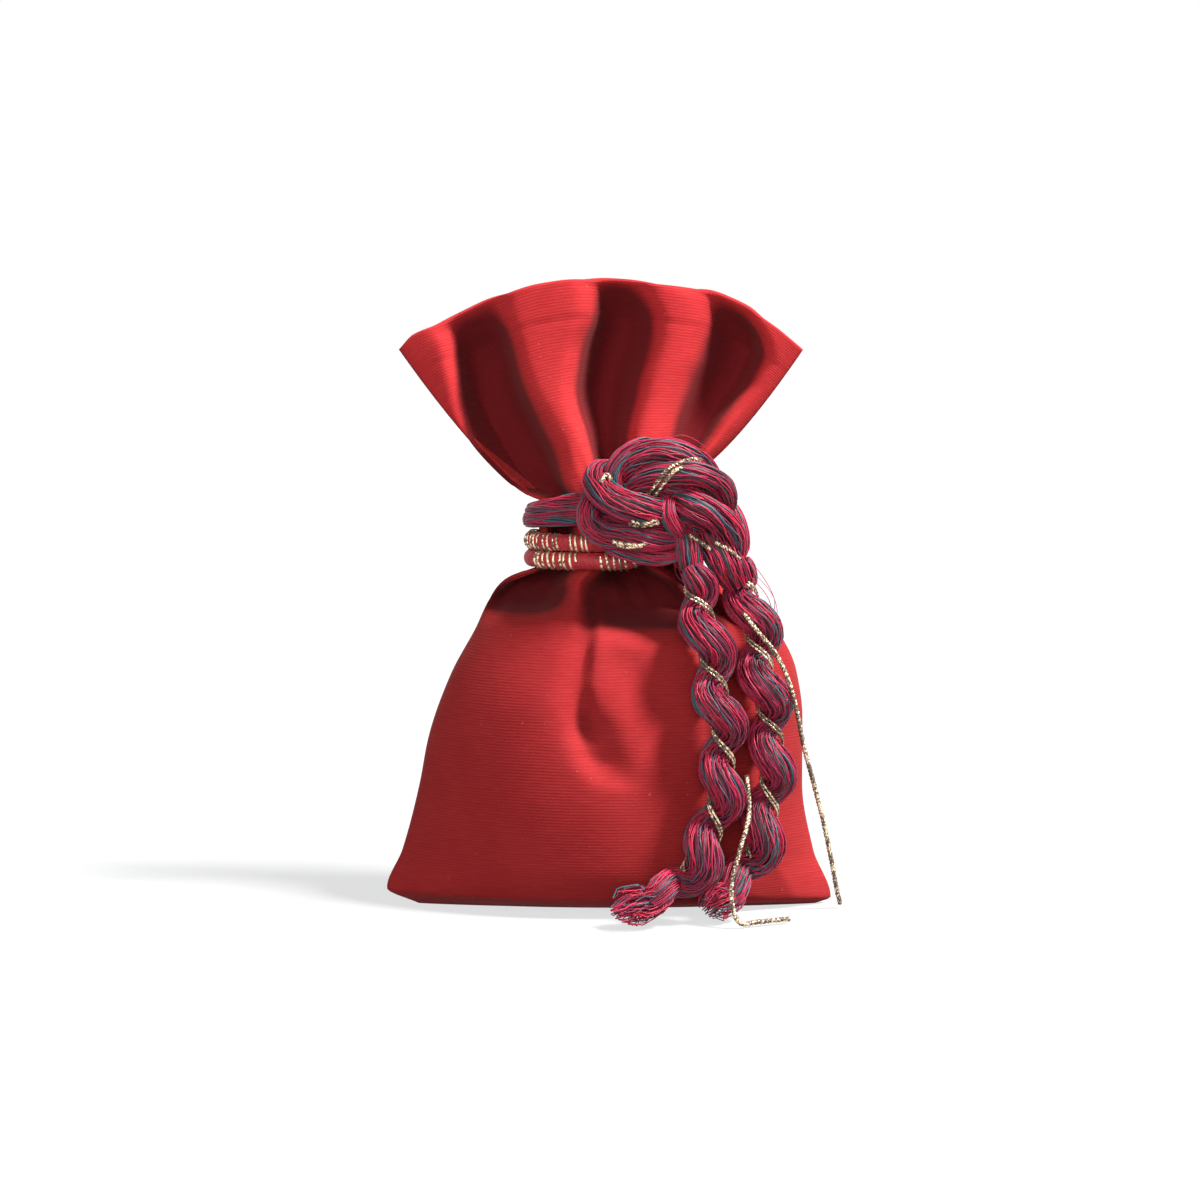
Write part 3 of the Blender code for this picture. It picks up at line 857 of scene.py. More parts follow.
@dataclass(frozen=True)
class BraidFinish:
    """Smooth red braid under the gold turns."""

    light: Point = (0.56, 0.016, 0.026)
    deep: Point = (0.30, 0.008, 0.016)
    relief: float = 0.1 * MM
    fineness: float = 2400.0

    def material(self) -> bpy.types.Material:
        """Builds the material, with fine slanting threads.

        Returns:
            The material.
        """
        material, t, shader = principled(
            "red_braid", Roughness=0.6, Sheen_Weight=0.2, Sheen_Tint=(1.0, 0.5, 0.5, 1.0),
        )
        where = t.add("ShaderNodeTexCoord").outputs["Object"]
        fine = t.noise(t.vector("MULTIPLY", where, (1.0, 1.0, 0.4)), self.fineness, 2.0)
        # The colour follows the same noise as the relief: painted shade, deeper where the fine threads lie
        # low.
        colour = t.blend(t.spread(fine, 0.3, 0.7), (*self.deep, 1), (*self.light, 1))
        t.feed(shader.inputs["Base Color"], colour)
        bump = t.add("ShaderNodeBump", Strength=0.7, Distance=self.relief, Height=fine)
        t.feed(shader.inputs["Normal"], bump.outputs[0])
        return material


# The sewn bag


def widened(heights: np.ndarray, up: np.ndarray, along: np.ndarray, reach: float) -> np.ndarray:
    """Spreads the high places of a grid softly over their neighbours.

    Args:
        heights: Values from 0 up, as rows by columns.
        up: Place of each row.
        along: Place of each column.
        reach: How far a high place is felt.

    Returns:
        The grid, with soft slopes round its high places.
    """
    sharpness = 6
    peak = heights.max()
    spread = []
    for places in (up, along):
        near = np.exp(-0.5 * ((places[:, None] - places[None, :]) / reach) ** 2)
        spread.append(near / near.sum(axis=1, keepdims=True))
    return peak * (spread[0] @ (heights / peak) ** sharpness @ spread[1].T) ** (1 / sharpness)


@dataclass(frozen=True)
class Fold:
    """A gathered fold in one panel.

    Each row of line is level, place across (-1 left seam, 1 right seam), depth into the pouch and
    half width across. lean is how far the fold's floor slides sideways for each metre of depth,
    skew how much wider its left side is than its right, and flat how flat its floor is.
    """

    line: tuple[tuple[float, float, float, float], ...]
    lean: float = 0.0
    skew: float = 0.0
    flat: float = 2.3

    def _column(self, number: int, level: np.ndarray) -> np.ndarray:
        """One column of the fold's line, read at each level."""
        return smooth_through([(row[0], row[number]) for row in self.line], level)

    def push(self, level: np.ndarray, across: np.ndarray) -> np.ndarray:
        """Works out how far the fold moves the cloth towards the inside of the pouch.

        Args:
            level: Level up the bag, 0 to 3.
            across: Place across, from -1 at the left seam to 1 at the right.

        Returns:
            The distance, in metres.
        """
        away = across - self._column(1, level)
        width = self._column(3, level) * np.where(away < 0, 1 + self.skew, 1 - self.skew)
        return self._column(2, level) * np.exp(-(np.abs(away / width) ** self.flat))


# Levels up the bag
BASE, SHOULDER, TIE_TOP, RIM = 0.0, 1.0, 2.0, 3.0

FRONT_FOLDS = (
    # The deep fold at the left, from the shoulder through the neck to the rim
    Fold(
        (
            (0.835, -0.86, 0.0000, 0.24),
            (0.865, -0.82, 0.0028, 0.28),
            (0.895, -0.76, 0.0086, 0.30),
            (0.935, -0.72, 0.0108, 0.28),
            (0.970, -0.71, 0.0100, 0.23),
            (SHOULDER, -0.70, 0.0080, 0.17),
            (TIE_TOP, -0.70, 0.0076, 0.15),
            (2.06, -0.76, 0.0088, 0.22),
            (2.225, -0.78, 0.0104, 0.29),
            (2.36, -0.76, 0.0110, 0.25),
            (2.52, -0.735, 0.0116, 0.20),
            (2.68, -0.69, 0.0110, 0.165),
            (2.79, -0.665, 0.0096, 0.15),
            (2.90, -0.65, 0.0060, 0.14),
            (RIM, -0.64, 0.0022, 0.17),
        ),
        lean=0.03, flat=3.8,
    ),
    # The middle fold, which opens above the tie
    Fold(
        (
            (0.94, 0.02, 0.0000, 0.10),
            (SHOULDER, 0.00, 0.0040, 0.12),
            (1.30, 0.00, 0.0078, 0.12),
            (TIE_TOP, 0.02, 0.0084, 0.13),
            (2.10, 0.02, 0.0098, 0.14),
            (2.26, 0.02, 0.0116, 0.155),
            (2.46, 0.035, 0.0130, 0.19),
            (2.657, 0.095, 0.0126, 0.185),
            (2.83, 0.135, 0.0104, 0.15),
            (2.93, 0.11, 0.0064, 0.135),
            (RIM, 0.09, 0.0030, 0.15),
        ),
        lean=-0.10, skew=0.10, flat=2.8,
    ),
    # The crease that comes down from the neck
    Fold(
        (
            (0.50, -0.12, 0.0000, 0.09),
            (0.56, -0.17, 0.0010, 0.09),
            (0.62, -0.21, 0.0016, 0.085),
            (0.70, -0.245, 0.0020, 0.08),
            (0.78, -0.25, 0.0022, 0.07),
            (0.84, -0.22, 0.0022, 0.06),
            (0.90, -0.17, 0.0010, 0.06),
            (0.94, -0.15, 0.0000, 0.06),
        ),
        skew=0.50,
    ),
    # The lower end of that crease, which turns towards the middle
    Fold(
        (
            (0.385, 0.01, 0.0000, 0.10),
            (0.43, -0.05, 0.0014, 0.11),
            (0.48, -0.11, 0.0024, 0.11),
            (0.54, -0.16, 0.0024, 0.105),
            (0.60, -0.20, 0.0012, 0.10),
            (0.67, -0.23, 0.0000, 0.08),
        ),
        skew=-0.25,
    ),
    # The wide hollow under the tie
    Fold(
        (
            (0.785, 0.24, 0.0000, 0.30),
            (0.820, 0.22, 0.0016, 0.37),
            (0.850, 0.19, 0.0068, 0.41),
            (0.895, 0.17, 0.0100, 0.42),
            (0.950, 0.16, 0.0098, 0.39),
            (SHOULDER, 0.16, 0.0074, 0.29),
            (1.20, 0.22, 0.0026, 0.15),
            (1.60, 0.30, 0.0000, 0.12),
        ),
        flat=3.2,
    ),
    # The shallow trough that slants up to the hollow
    Fold(
        (
            (0.44, 0.36, 0.0000, 0.18),
            (0.54, 0.27, 0.0012, 0.18),
            (0.64, 0.14, 0.0018, 0.17),
            (0.74, 0.02, 0.0012, 0.15),
            (0.82, -0.04, 0.0000, 0.13),
        ),
        flat=2.0,
    ),
    # The right fold, from the hip through the neck to the rim
    Fold(
        (
            (0.46, 0.60, 0.0000, 0.16),
            (0.66, 0.62, 0.0014, 0.14),
            (0.85, 0.70, 0.0030, 0.12),
            (SHOULDER, 0.74, 0.0052, 0.11),
            (TIE_TOP, 0.72, 0.0064, 0.13),
            (2.12, 0.72, 0.0066, 0.15),
            (2.34, 0.73, 0.0076, 0.16),
            (2.52, 0.76, 0.0088, 0.16),
            (2.66, 0.785, 0.0096, 0.155),
            (2.79, 0.785, 0.0100, 0.15),
            (2.89, 0.75, 0.0080, 0.14),
            (2.96, 0.68, 0.0040, 0.13),
            (RIM, 0.62, 0.0020, 0.16),
        ),
        skew=0.36, flat=2.7,
    ),
)
BACK_FOLDS = (
    # Three plain gathers: the one nearest the left seam
    Fold(
        (
            (0.62, -0.62, 0.0000, 0.18),
            (0.85, -0.56, 0.0036, 0.14),
            (SHOULDER, -0.48, 0.0066, 0.12),
            (TIE_TOP, -0.44, 0.0066, 0.12),
            (2.40, -0.42, 0.0054, 0.16),
            (RIM, -0.40, 0.0018, 0.20),
        )
    ),
    # The middle one
    Fold(
        (
            (0.30, 0.10, 0.0000, 0.16),
            (0.60, 0.10, 0.0022, 0.14),
            (0.85, 0.08, 0.0048, 0.13),
            (SHOULDER, 0.04, 0.0070, 0.12),
            (TIE_TOP, 0.02, 0.0070, 0.12),
            (2.40, 0.10, 0.0058, 0.16),
            (RIM, 0.14, 0.0022, 0.20),
        )
    ),
    # The one nearest the right seam
    Fold(
        (
            (0.55, 0.70, 0.0000, 0.18),
            (0.85, 0.60, 0.0036, 0.14),
            (SHOULDER, 0.50, 0.0062, 0.12),
            (TIE_TOP, 0.52, 0.0062, 0.12),
            (2.40, 0.56, 0.0048, 0.15),
            (RIM, 0.60, 0.0016, 0.18),
        )
    ),
)

# Height of the rim at places across the bag
RIM_LINE = (
    (-1.00, 0.1060), (-0.93, 0.1088), (-0.86, 0.1100), (-0.80, 0.1108), (-0.50, 0.1160),
    (-0.30, 0.1184), (-0.12, 0.1192), (0.10, 0.1188), (0.50, 0.1172), (0.70, 0.1142),
    (0.86, 0.1104), (1.00, 0.1060),
)


@dataclass
class ClothBag:
    """The bag: one piece of cloth, folded and sewn, gathered at the neck and open at the rim.

    Levels run from 0 at the base to 1 at the shoulder, 2 at the tie's upper edge and 3 at the rim.
    """

    wall: float = 0.7 * MM
    shoulder_height: float = 65.0 * MM
    patch_half_width: float = 36.5 * MM
    ear_half_width: float = 42.6 * MM
    hip_left: float = 36.2 * MM
    hip_right: float = 37.0 * MM
    flank_left: float = 30.2 * MM
    flank_right: float = 35.8 * MM
    collar_left: float = 20.3 * MM
    collar_right: float = 22.8 * MM
    patch_half_depth: float = 9.5 * MM
    belly_half_depth: float = 21.8 * MM
    neck_half_width: float = 14.3 * MM
    neck_half_depth: float = 9.2 * MM
    neck_shift: float = 1.0 * MM
    mouth_height: float = 40.9 * MM
    mouth_left: float = 39.7 * MM
    mouth_right: float = 36.5 * MM
    mouth_half_depth: float = 6.2 * MM
    left_corner_forward: float = 1.2 * MM
    right_corner_forward: float = 4.0 * MM
    tie_height: float = 12.5 * MM
    edge_lift: float = 1.1 * MM
    tie_tilt: float = 0.16
    hem_depth: float = 7.5 * MM
    hem_height: float = 0.10 * MM
    stitch_depth: float = 0.22 * MM
    stitch_width: float = 0.45 * MM
    gather_height: float = 0.55 * MM
    ripple_height: float = 0.12 * MM
    flat_half_width: float = 47.0 * MM
    flat_length: float = 131.0 * MM
    deepest_fold: float = 10.5 * MM
    seam_fade: float = 2.2
    least_layer_gap: float = 2.2 * MM
    layer_softness: float = 1.0 * MM
    bulge_reach: float = 1.4 * MM
    bulge_share: float = 1.06
    looseness: Stations = ((0.81, 1.0), (0.93, 0.0), (2.10, 0.0), (2.40, 1.0))
    columns: int = 104
    rows: tuple[int, int, int] = (96, 12, 62)
    base_rows: int = 9
    base_map_shift: float = -20.0 * MM
    levels: np.ndarray = field(init=False)
    depths: np.ndarray = field(init=False)

    def __post_init__(self) -> None:
        """Works out the levels of the rows of cloth, which lie closer together at the base."""
        body, neck, mouth = self.rows
        self.levels = np.concatenate([
            np.linspace(BASE, SHOULDER, body) ** 1.15,
            np.linspace(SHOULDER, TIE_TOP, neck)[1:],
            np.linspace(TIE_TOP, RIM, mouth)[1:],
        ])

    def _reach(self, side: Side) -> Stations:
        """Gives stations of the half width below the tie.

        Args:
            side: The left or the right side.

        Returns:
            The stations, as (level, half width).
        """
        if side is Side.LEFT:
            return (
                (0.0, self.patch_half_width), (0.045, self.ear_half_width),
                (0.16, 0.93 * self.ear_half_width), (0.36, self.hip_left),
                (0.49, 0.955 * self.hip_left), (0.68, self.flank_left),
                (0.80, 0.86 * self.flank_left), (0.95, self.collar_left),
                (SHOULDER, self.neck_half_width - self.neck_shift),
            )
        return (
            (0.0, 0.93 * self.ear_half_width), (0.018, self.ear_half_width),
            (0.16, 0.92 * self.ear_half_width), (0.36, self.hip_right),
            (0.55, self.hip_right), (0.69, self.flank_right),
            (0.80, 0.91 * self.flank_right), (0.95, self.collar_right),
            (SHOULDER, self.neck_half_width + self.neck_shift),
        )

    def _depth(self) -> Stations:
        """Gives stations of the half depth.

        Returns:
            The stations, as (level, half depth).
        """
        neck, mouth = self.neck_half_depth, self.mouth_half_depth
        belly = self.belly_half_depth
        return (
            (0.0, self.patch_half_depth), (0.012, 0.60 * belly), (0.045, 0.77 * belly),
            (0.16, 0.93 * belly), (0.38, belly), (0.58, 0.98 * belly), (0.76, 0.84 * belly),
            (0.90, 0.60 * belly), (SHOULDER, neck), (TIE_TOP, neck), (2.4, 0.5 * (neck + mouth)),
            (RIM, mouth),
        )

    @staticmethod
    def _side_point() -> Stations:
        """Gives stations of how pointed the sides are: 0.5 is an ellipse's end, 1 a lens's.

        Returns:
            The stations, as (level, power).
        """
        return (
            (0.0, 0.85), (0.06, 0.95), (0.25, 0.80), (0.60, 0.66), (0.85, 0.52),
            (SHOULDER, 0.50), (TIE_TOP, 0.50), (2.3, 0.62), (RIM, 0.80),
        )

    def tie_top(self, x: np.ndarray) -> np.ndarray:
        """Height of the tie's upper edge at each x."""
        left_end = self.neck_shift - self.neck_half_width
        return self.shoulder_height + self.tie_height + self.tie_tilt * (x - left_end)

    def height(self, level: np.ndarray, across: np.ndarray) -> np.ndarray:
        """Works out the height of the cloth above the floor.

        Args:
            level: Level up the bag, 0 to 3.
            across: Place across, from -1 at the left seam to 1 at the right.

        Returns:
            The height at each place.
        """
        gathered = self.tie_top(self.neck_shift + self.neck_half_width * across)
        rim = smooth_through(RIM_LINE, across)
        neck = self.shoulder_height + (level - SHOULDER) * (gathered - self.shoulder_height)
        mouth = gathered + (level - TIE_TOP) * (rim - gathered)
        lift = self.edge_lift * np.clip(1 - level / 0.12, 0, 1) * np.clip(1 - np.abs(across) ** 5, 0, 1)
        body = self.shoulder_height * level + lift
        return np.where(level <= SHOULDER, body, np.where(level <= TIE_TOP, neck, mouth))

    def seams(self, level: np.ndarray) -> tuple[np.ndarray, np.ndarray]:
        """Works out where the two side seams are.

        Args:
            level: Level up the bag, 0 to 3.

        Returns:
            The x of the left and of the right seam at each level.
        """
        body = np.clip(level, BASE, SHOULDER)
        left = -smooth_through(self._reach(Side.LEFT), body)
        right = smooth_through(self._reach(Side.RIGHT), body)
        flare = np.clip(level - TIE_TOP, 0, 1) ** 0.75
        left = left + flare * (-self.mouth_left - left)
        right = right + flare * (self.mouth_right - right)
        return left, right

    def panel(self, level: np.ndarray, across: np.ndarray, which: Panel) -> np.ndarray:
        """Works out points of the outer side of one panel.

        Args:
            level: Level up the bag, 0 to 3.
            across: Place across, from -1 at the left seam to 1 at the right.
            which: The panel.

        Returns:
            The points, with x, y and z last.
        """
        level, across = np.broadcast_arrays(level, across)
        left, right = self.seams(level)
        x = 0.5 * (left + right) + 0.5 * (right - left) * across
        rounded = np.clip(1 - across**2, 0, 1) ** smooth_through(self._side_point(), level)
        depth = smooth_through(self._depth(), level) * rounded
        fade = np.clip(rounded * self.seam_fade, 0, 1)
        mouth = np.clip(level - TIE_TOP, 0, 1)
        forward = np.where(across < 0, self.left_corner_forward, self.right_corner_forward)
        seam = -forward * mouth * np.abs(across) ** 3
        pushes = [(f, fade * f.push(level, across)) for f in FRONT_FOLDS]
        y_front = seam - depth + sum(push for _, push in pushes)
        z = self.height(level, across)
        if which is Panel.FRONT:
            x = x + sum(f.lean * push for f, push in pushes)
            return np.stack([x, y_front - self.puckers(level, across, fade), z], axis=-1)
        y_back = seam + depth - fade * sum(f.push(level, across) for f in BACK_FOLDS)

        # The front's folds push the back out, softly and a little wider than the folds are
        short = y_front + self.least_layer_gap * fade - y_back
        short = 0.5 * (short + np.sqrt(short**2 + (self.layer_softness * fade) ** 2))
        loose = np.interp(level, *zip(*self.looseness))
        bulge = widened(short, z[:, self.columns // 2], x[-1], self.bulge_reach)
        y_back = y_back + short + loose * fade * np.maximum(self.bulge_share * bulge - short, 0)
        return np.stack([x, y_back + self.puckers(level, across + 0.37, fade), z], axis=-1)

    def painted_fold_shade(self, level: np.ndarray, across: np.ndarray, which: Panel) -> np.ndarray:
        """Works out how deep in a fold each place of a panel is, which sets how much shade is painted
        there.

        Args:
            level: Level up the bag, 0 to 3.
            across: Place across, from -1 at the left seam to 1 at the right.
            which: The panel.

        Returns:
            The depth, from 0 to 1.
        """
        level, across = np.broadcast_arrays(level, across)
        folds = FRONT_FOLDS if which is Panel.FRONT else BACK_FOLDS
        return np.clip(sum(f.push(level, across) for f in folds) / self.deepest_fold, 0, 1)

    def puckers(self, level: np.ndarray, across: np.ndarray, fade: np.ndarray) -> np.ndarray:
        """Works out the cloth's small outward waves: gathers by the tie, ripples and the hem.

        Args:
            level: Level up the bag, 0 to 3.
            across: Place across, from -1 at the left seam to 1 at the right.
            fade: Share of the waves that is left beside the seams.

        Returns:
            How far each place stands out.
        """
        below_tie = np.exp(-(((level - 0.94) / 0.10) ** 2))
        above_tie = np.exp(-(((level - 2.12) / 0.13) ** 2))
        gathers = 0.5 * np.sin(37 * across + 1.3) + 0.5 * np.sin(23 * across - 0.7 + 3 * level)
        gathers = self.gather_height * (below_tie + 0.6 * above_tie) * gathers
        ripples = np.sin(4.1 * across + 7.0 * level) * np.sin(5.3 * level + 2.0 * across)
        ripples = self.ripple_height * np.clip(level / 0.1, 0, 1) * ripples
        from_stitches = (RIM - level) * self.mouth_height - self.hem_depth
        stitches = self.stitch_depth * np.exp(-((from_stitches / self.stitch_width) ** 2))
        hem = self.hem_height * (from_stitches < 0)
        return fade * (gathers + ripples + hem - stitches)

    def _across(self) -> np.ndarray:
        """Places of the columns across a panel, a little closer together beside the seams."""
        even = np.linspace(-1, 1, self.columns + 1)
        return 0.5 * even + 0.5 * np.sin(0.5 * math.pi * even)

    def outer_rows(self) -> np.ndarray:
        """Works out rows of points round the bag, and how deep in a fold each one is.

        Returns:
            The points: each row is the front from left to right, and back behind.
        """
        level, across = self.levels[:, None], self._across()[None, :]
        front, back = (self.panel(level, across, which) for which in Panel)
        front_depth, back_depth = (self.painted_fold_shade(level, across, which) for which in Panel)
        self.depths = np.concatenate([front_depth, back_depth[:, -2:0:-1]], axis=1)
        return np.concatenate([front, back[:, -2:0:-1]], axis=1)

    def build(self, material: bpy.types.Material) -> bpy.types.Object:
        """Builds the bag as a thin shell with the cloth's UV map.

        Args:
            material: The cloth.

        Returns:
            The bag, as a plain mesh.
        """
        rows = self.outer_rows()
        points, faces, places = self._walls(rows)
        self._close_base(rows, points, faces, places)
        mesh = bpy.data.meshes.new("cloth_bag")
        mesh.from_pydata(points, [], faces)
        layer = mesh.uv_layers.new(name="cloth")
        layer.data.foreach_set("uv", np.array(places, np.float32).reshape(-1))
        # Each point's depth in a fold, which the cloth's material turns into painted shade
        deep = np.zeros(len(points), np.float32)
        deep[: self.depths.size] = self.depths.reshape(-1)
        mesh.attributes.new("painted_fold_shade", "FLOAT", "POINT").data.foreach_set("value", deep)
        mesh.shade_smooth()
        bag = new_object("cloth_bag", mesh)
        mesh.materials.append(material)
        shell = bag.modifiers.new("wall", "SOLIDIFY")
        shell.thickness = self.wall
        shell.offset = -1.0
        settle(bag)
        return bag

    def _walls(self, rows: np.ndarray) -> tuple[list[Point], list[tuple[int, ...]], list[Place]]:
        """Makes the faces of both panels, row by row from the base to the rim.

        Args:
            rows: Rows of points round the bag.

        Returns:
            The points, the faces, and the place on the flat cloth of each corner of each face.
        """
        count, around = rows.shape[:2]
        flat = self._flat_map()
        run = self._run_up(rows)
        faces, places = [], []
        for i in range(count - 1):
            low, high = i * around, (i + 1) * around
            for k in range(around):
                j = (k + 1) % around
                faces.append((low + k, low + j, high + j, high + k))
                here, ahead = flat[k]
                places += [(here, run[i]), (ahead, run[i]), (ahead, run[i + 1]), (here, run[i + 1])]
        return rows.reshape(-1, 3).tolist(), faces, places

    def _close_base(self, rows: np.ndarray, points: list[Point], faces: list[tuple[int, ...]],
                    places: list[Place]) -> None:
        """Closes the base with cloth that comes down to the floor between its two edges.

        Args:
            rows: Rows of points round the bag.
            points: The bag's points, to which the base's are added.
            faces: The bag's faces, to which the base's are added.
            places: The place on the flat cloth of each corner, to which the base's are added.
        """
        half, around = self.columns, rows.shape[1]
        lines = [list(range(half + 1))]
        for step in range(1, self.base_rows):
            share = step / self.base_rows
            line = [0]
            for k in range(1, half):
                front, back = rows[0, k], rows[0, around - k]
                place = front + share * (back - front)
                place[2] = front[2] * (2 * share - 1) ** 4
                points.append(tuple(place))
                line.append(len(points) - 1)
            lines.append(line + [half])
        lines.append([0] + [around - k for k in range(1, half)] + [half])
        for near, far in zip(lines, lines[1:]):
            for k in range(half):
                corners = tuple(dict.fromkeys((near[k], far[k], far[k + 1], near[k + 1])))
                faces.append(corners)
                places += [(points[c][0], points[c][1] + self.base_map_shift) for c in corners]

    def _flat_map(self) -> list[Place]:
        """Works out where each column and the next lie across the flat cloth.

        Returns:
            The two places for each column, from the left seam round.
        """
        across = self._across()
        front = self.flat_half_width * (across + 1)
        back = 4 * self.flat_half_width - self.flat_half_width * (across[::-1][1:] + 1)
        places = np.concatenate([front, back])
        return list(zip(places, places[1:]))

    def _run_up(self, rows: np.ndarray) -> np.ndarray:
        """Length of cloth from the floor up to each row, measured up a ridge of the front."""
        return run_along(rows[:, int(0.36 * self.columns)])


# The tie


@dataclass(frozen=True)
class Bundle:
    """One bundle of thread of the knot, in millimetres from the knot's own corner."""

    name: str
    route: tuple[Point, ...]
    diameter: float
    start_full: float = 0.45
    end_full: float = 0.45


KNOT_BUNDLES = (
    Bundle(
        "core",
        (
            (-1.8, -0.4, 14.0), (2.4, 1.4, 14.6), (8.4, 1.8, 15.4), (14.0, 1.0, 14.6),
            (18.4, -0.8, 11.6),
        ),
        diameter=8.0,
    ),
    Bundle(
        "deep_fill",
        (
            (-3.4, -0.6, 9.9), (1.8, 0.8, 9.6), (8.0, 1.8, 9.4), (14.4, 1.6, 9.4),
            (19.6, -0.4, 7.6),
        ),
        diameter=7.0, start_full=0.6,
    ),
    Bundle(
        "under_left",
        (
            (-2.0, -1.6, 16.4), (-4.0, 0.6, 13.9), (-4.9, 1.8, 11.1), (-4.4, 2.6, 8.6),
            (-1.8, 3.5, 6.9), (2.8, 4.4, 6.4), (7.4, 4.6, 6.0), (12.2, 4.2, 6.0),
        ),
        diameter=4.8, start_full=0.6,
    ),
    Bundle(
        "front_left",
        (
            (1.4, -1.6, 17.0), (-2.0, 0.2, 18.4), (-3.2, 3.2, 16.8), (-1.8, 5.6, 14.6),
            (1.4, 6.9, 12.9), (4.8, 7.0, 12.0), (7.6, 5.4, 11.4), (9.0, 2.6, 11.0),
        ),
        diameter=5.9, start_full=0.6, end_full=0.6,
    ),
    Bundle(
        "upper_left",
        (
            (8.4, -1.2, 21.0), (6.0, 1.4, 23.2), (3.2, 3.2, 22.4), (0.9, 4.0, 20.6),
            (-0.3, 4.2, 18.0), (0.5, 3.8, 15.4), (2.8, 2.6, 13.6),
        ),
        diameter=3.8,
    ),
    Bundle(
        "top_arch",
        (
            (0.9, 2.2, 16.6), (2.6, 3.6, 19.6), (6.2, 4.4, 22.0), (10.8, 4.2, 22.2),
            (14.2, 2.8, 20.8), (17.2, 0.6, 18.6), (19.0, -1.4, 16.0),
        ),
        diameter=5.4, start_full=0.5, end_full=0.5,
    ),
    Bundle(
        "right_arch",
        (
            (2.0, 3.6, 14.8), (5.4, 5.2, 17.2), (10.0, 6.2, 18.4), (15.0, 5.6, 18.4),
            (19.2, 3.4, 16.6), (21.2, 0.8, 13.6), (20.8, -1.0, 10.8),
        ),
        diameter=4.7,
    ),
    Bundle(
        "right_lobe",
        (
            (10.6, 2.4, 13.4), (13.2, 5.0, 12.9), (16.6, 5.6, 11.6), (19.8, 4.6, 9.4),
            (22.0, 2.8, 6.4), (23.0, 1.2, 3.4),
        ),
        diameter=5.7, start_full=0.45, end_full=0.6,
    ),
    Bundle(
        "middle",
        (
            (10.4, 3.0, 13.8), (9.8, 5.6, 12.6), (9.9, 6.4, 10.8), (11.2, 6.0, 8.6),
            (13.4, 4.8, 6.4),
        ),
        diameter=3.4,
    ),
    Bundle(
        "smooth_loop",
        (
            (19.6, -2.6, 13.4), (22.2, -1.8, 11.0), (23.6, -1.0, 7.8), (24.0, -0.6, 4.6),
            (23.3, 0.0, 1.6),
        ),
        diameter=2.9,
    ),
    Bundle(
        "low_pass",
        (
            (-2.6, 0.4, 5.2), (0.4, 2.0, 3.9), (4.4, 2.8, 2.9), (8.4, 3.0, 2.5), (12.6, 3.0, 3.2),
        ),
        diameter=3.1,
    ),
    Bundle(
        "right_stem",
        (
            (16.0, 0.6, 8.4), (18.4, 2.2, 5.2), (20.8, 2.8, 1.6), (23.2, 2.0, -2.4),
        ),
        diameter=6.8, start_full=0.5, end_full=0.8,
    ),
    Bundle(
        "left_stem",
        (
            (12.4, 2.4, 8.4), (13.3, 4.2, 5.9), (13.9, 4.7, 3.2), (14.4, 4.6, 0.4),
        ),
        diameter=5.2, start_full=0.5, end_full=0.8,
    ),
)

# Routes of the ends that hang from the tie, in metres
TAIL_LEFT_ROUTE = (
    (0.0148, -0.0170, 0.0656),
    (0.0164, -0.0183, 0.0600),
    (0.0181, -0.0200, 0.0533),
    (0.0196, -0.0218, 0.0442),
    (0.0210, -0.0221, 0.0364),
    (0.0209, -0.0222, 0.0280),
    (0.0197, -0.0224, 0.0202),
    (0.0171, -0.0229, 0.0133),
    (0.0130, -0.0243, 0.0080),
    (0.0078, -0.0264, 0.0050),
)
TAIL_RIGHT_ROUTE = (
    (0.0240, -0.0131, 0.0665),
    (0.0257, -0.0137, 0.0600),
    (0.0277, -0.0153, 0.0522),
    (0.0287, -0.0167, 0.0442),
    (0.0301, -0.0169, 0.0364),
    (0.0303, -0.0168, 0.0280),
    (0.0294, -0.0169, 0.0202),
    (0.0276, -0.0177, 0.0133),
    (0.0250, -0.0191, 0.0082),
    (0.0222, -0.0206, 0.0050),
)
GOLD_RIGHT_ROUTE = (
    (0.0248, -0.0199, 0.0577),
    (0.0276, -0.0207, 0.0541),
    (0.0306, -0.0208, 0.0504),
    (0.0330, -0.0201, 0.0455),
    (0.0347, -0.0193, 0.0396),
    (0.0362, -0.0178, 0.0325),
    (0.0381, -0.0152, 0.0257),
    (0.0402, -0.0122, 0.0179),
    (0.0419, -0.0094, 0.0104),
    (0.0432, -0.0071, 0.0039),
    (0.0440, -0.0056, 0.0009),
)
GOLD_LEFT_ROUTE = (
    (0.0255, -0.0200, 0.0275),
    (0.0258, -0.0236, 0.0210),
    (0.0240, -0.0257, 0.0143),
    (0.0225, -0.0266, 0.0085),
    (0.0228, -0.0272, 0.0034),
    (0.0243, -0.0266, 0.0009),
    (0.0270, -0.0252, 0.0009),
    (0.0303, -0.0233, 0.0009),
    (0.0336, -0.0217, 0.0009),
)


def fullness_along(path: np.ndarray, radius: float, start: float, end: float) -> np.ndarray:
    """Radius of a bundle along a path, smaller at the ends.

    Args:
        path: The bundle's path.
        radius: Its full radius.
        start: Share of the radius at the first point.
        end: Share of the radius at the last point.

    Returns:
        The radius at each point.
    """
    run = run_along(path)
    at = run / run[-1]
    end_share = 0.28
    rise = np.clip(at / end_share, 0, 1)
    fall = np.clip((1 - at) / end_share, 0, 1)
    rise = start + (1 - start) * np.sin(0.5 * math.pi * rise)
    fall = end + (1 - end) * np.sin(0.5 * math.pi * fall)
    return radius * rise * fall


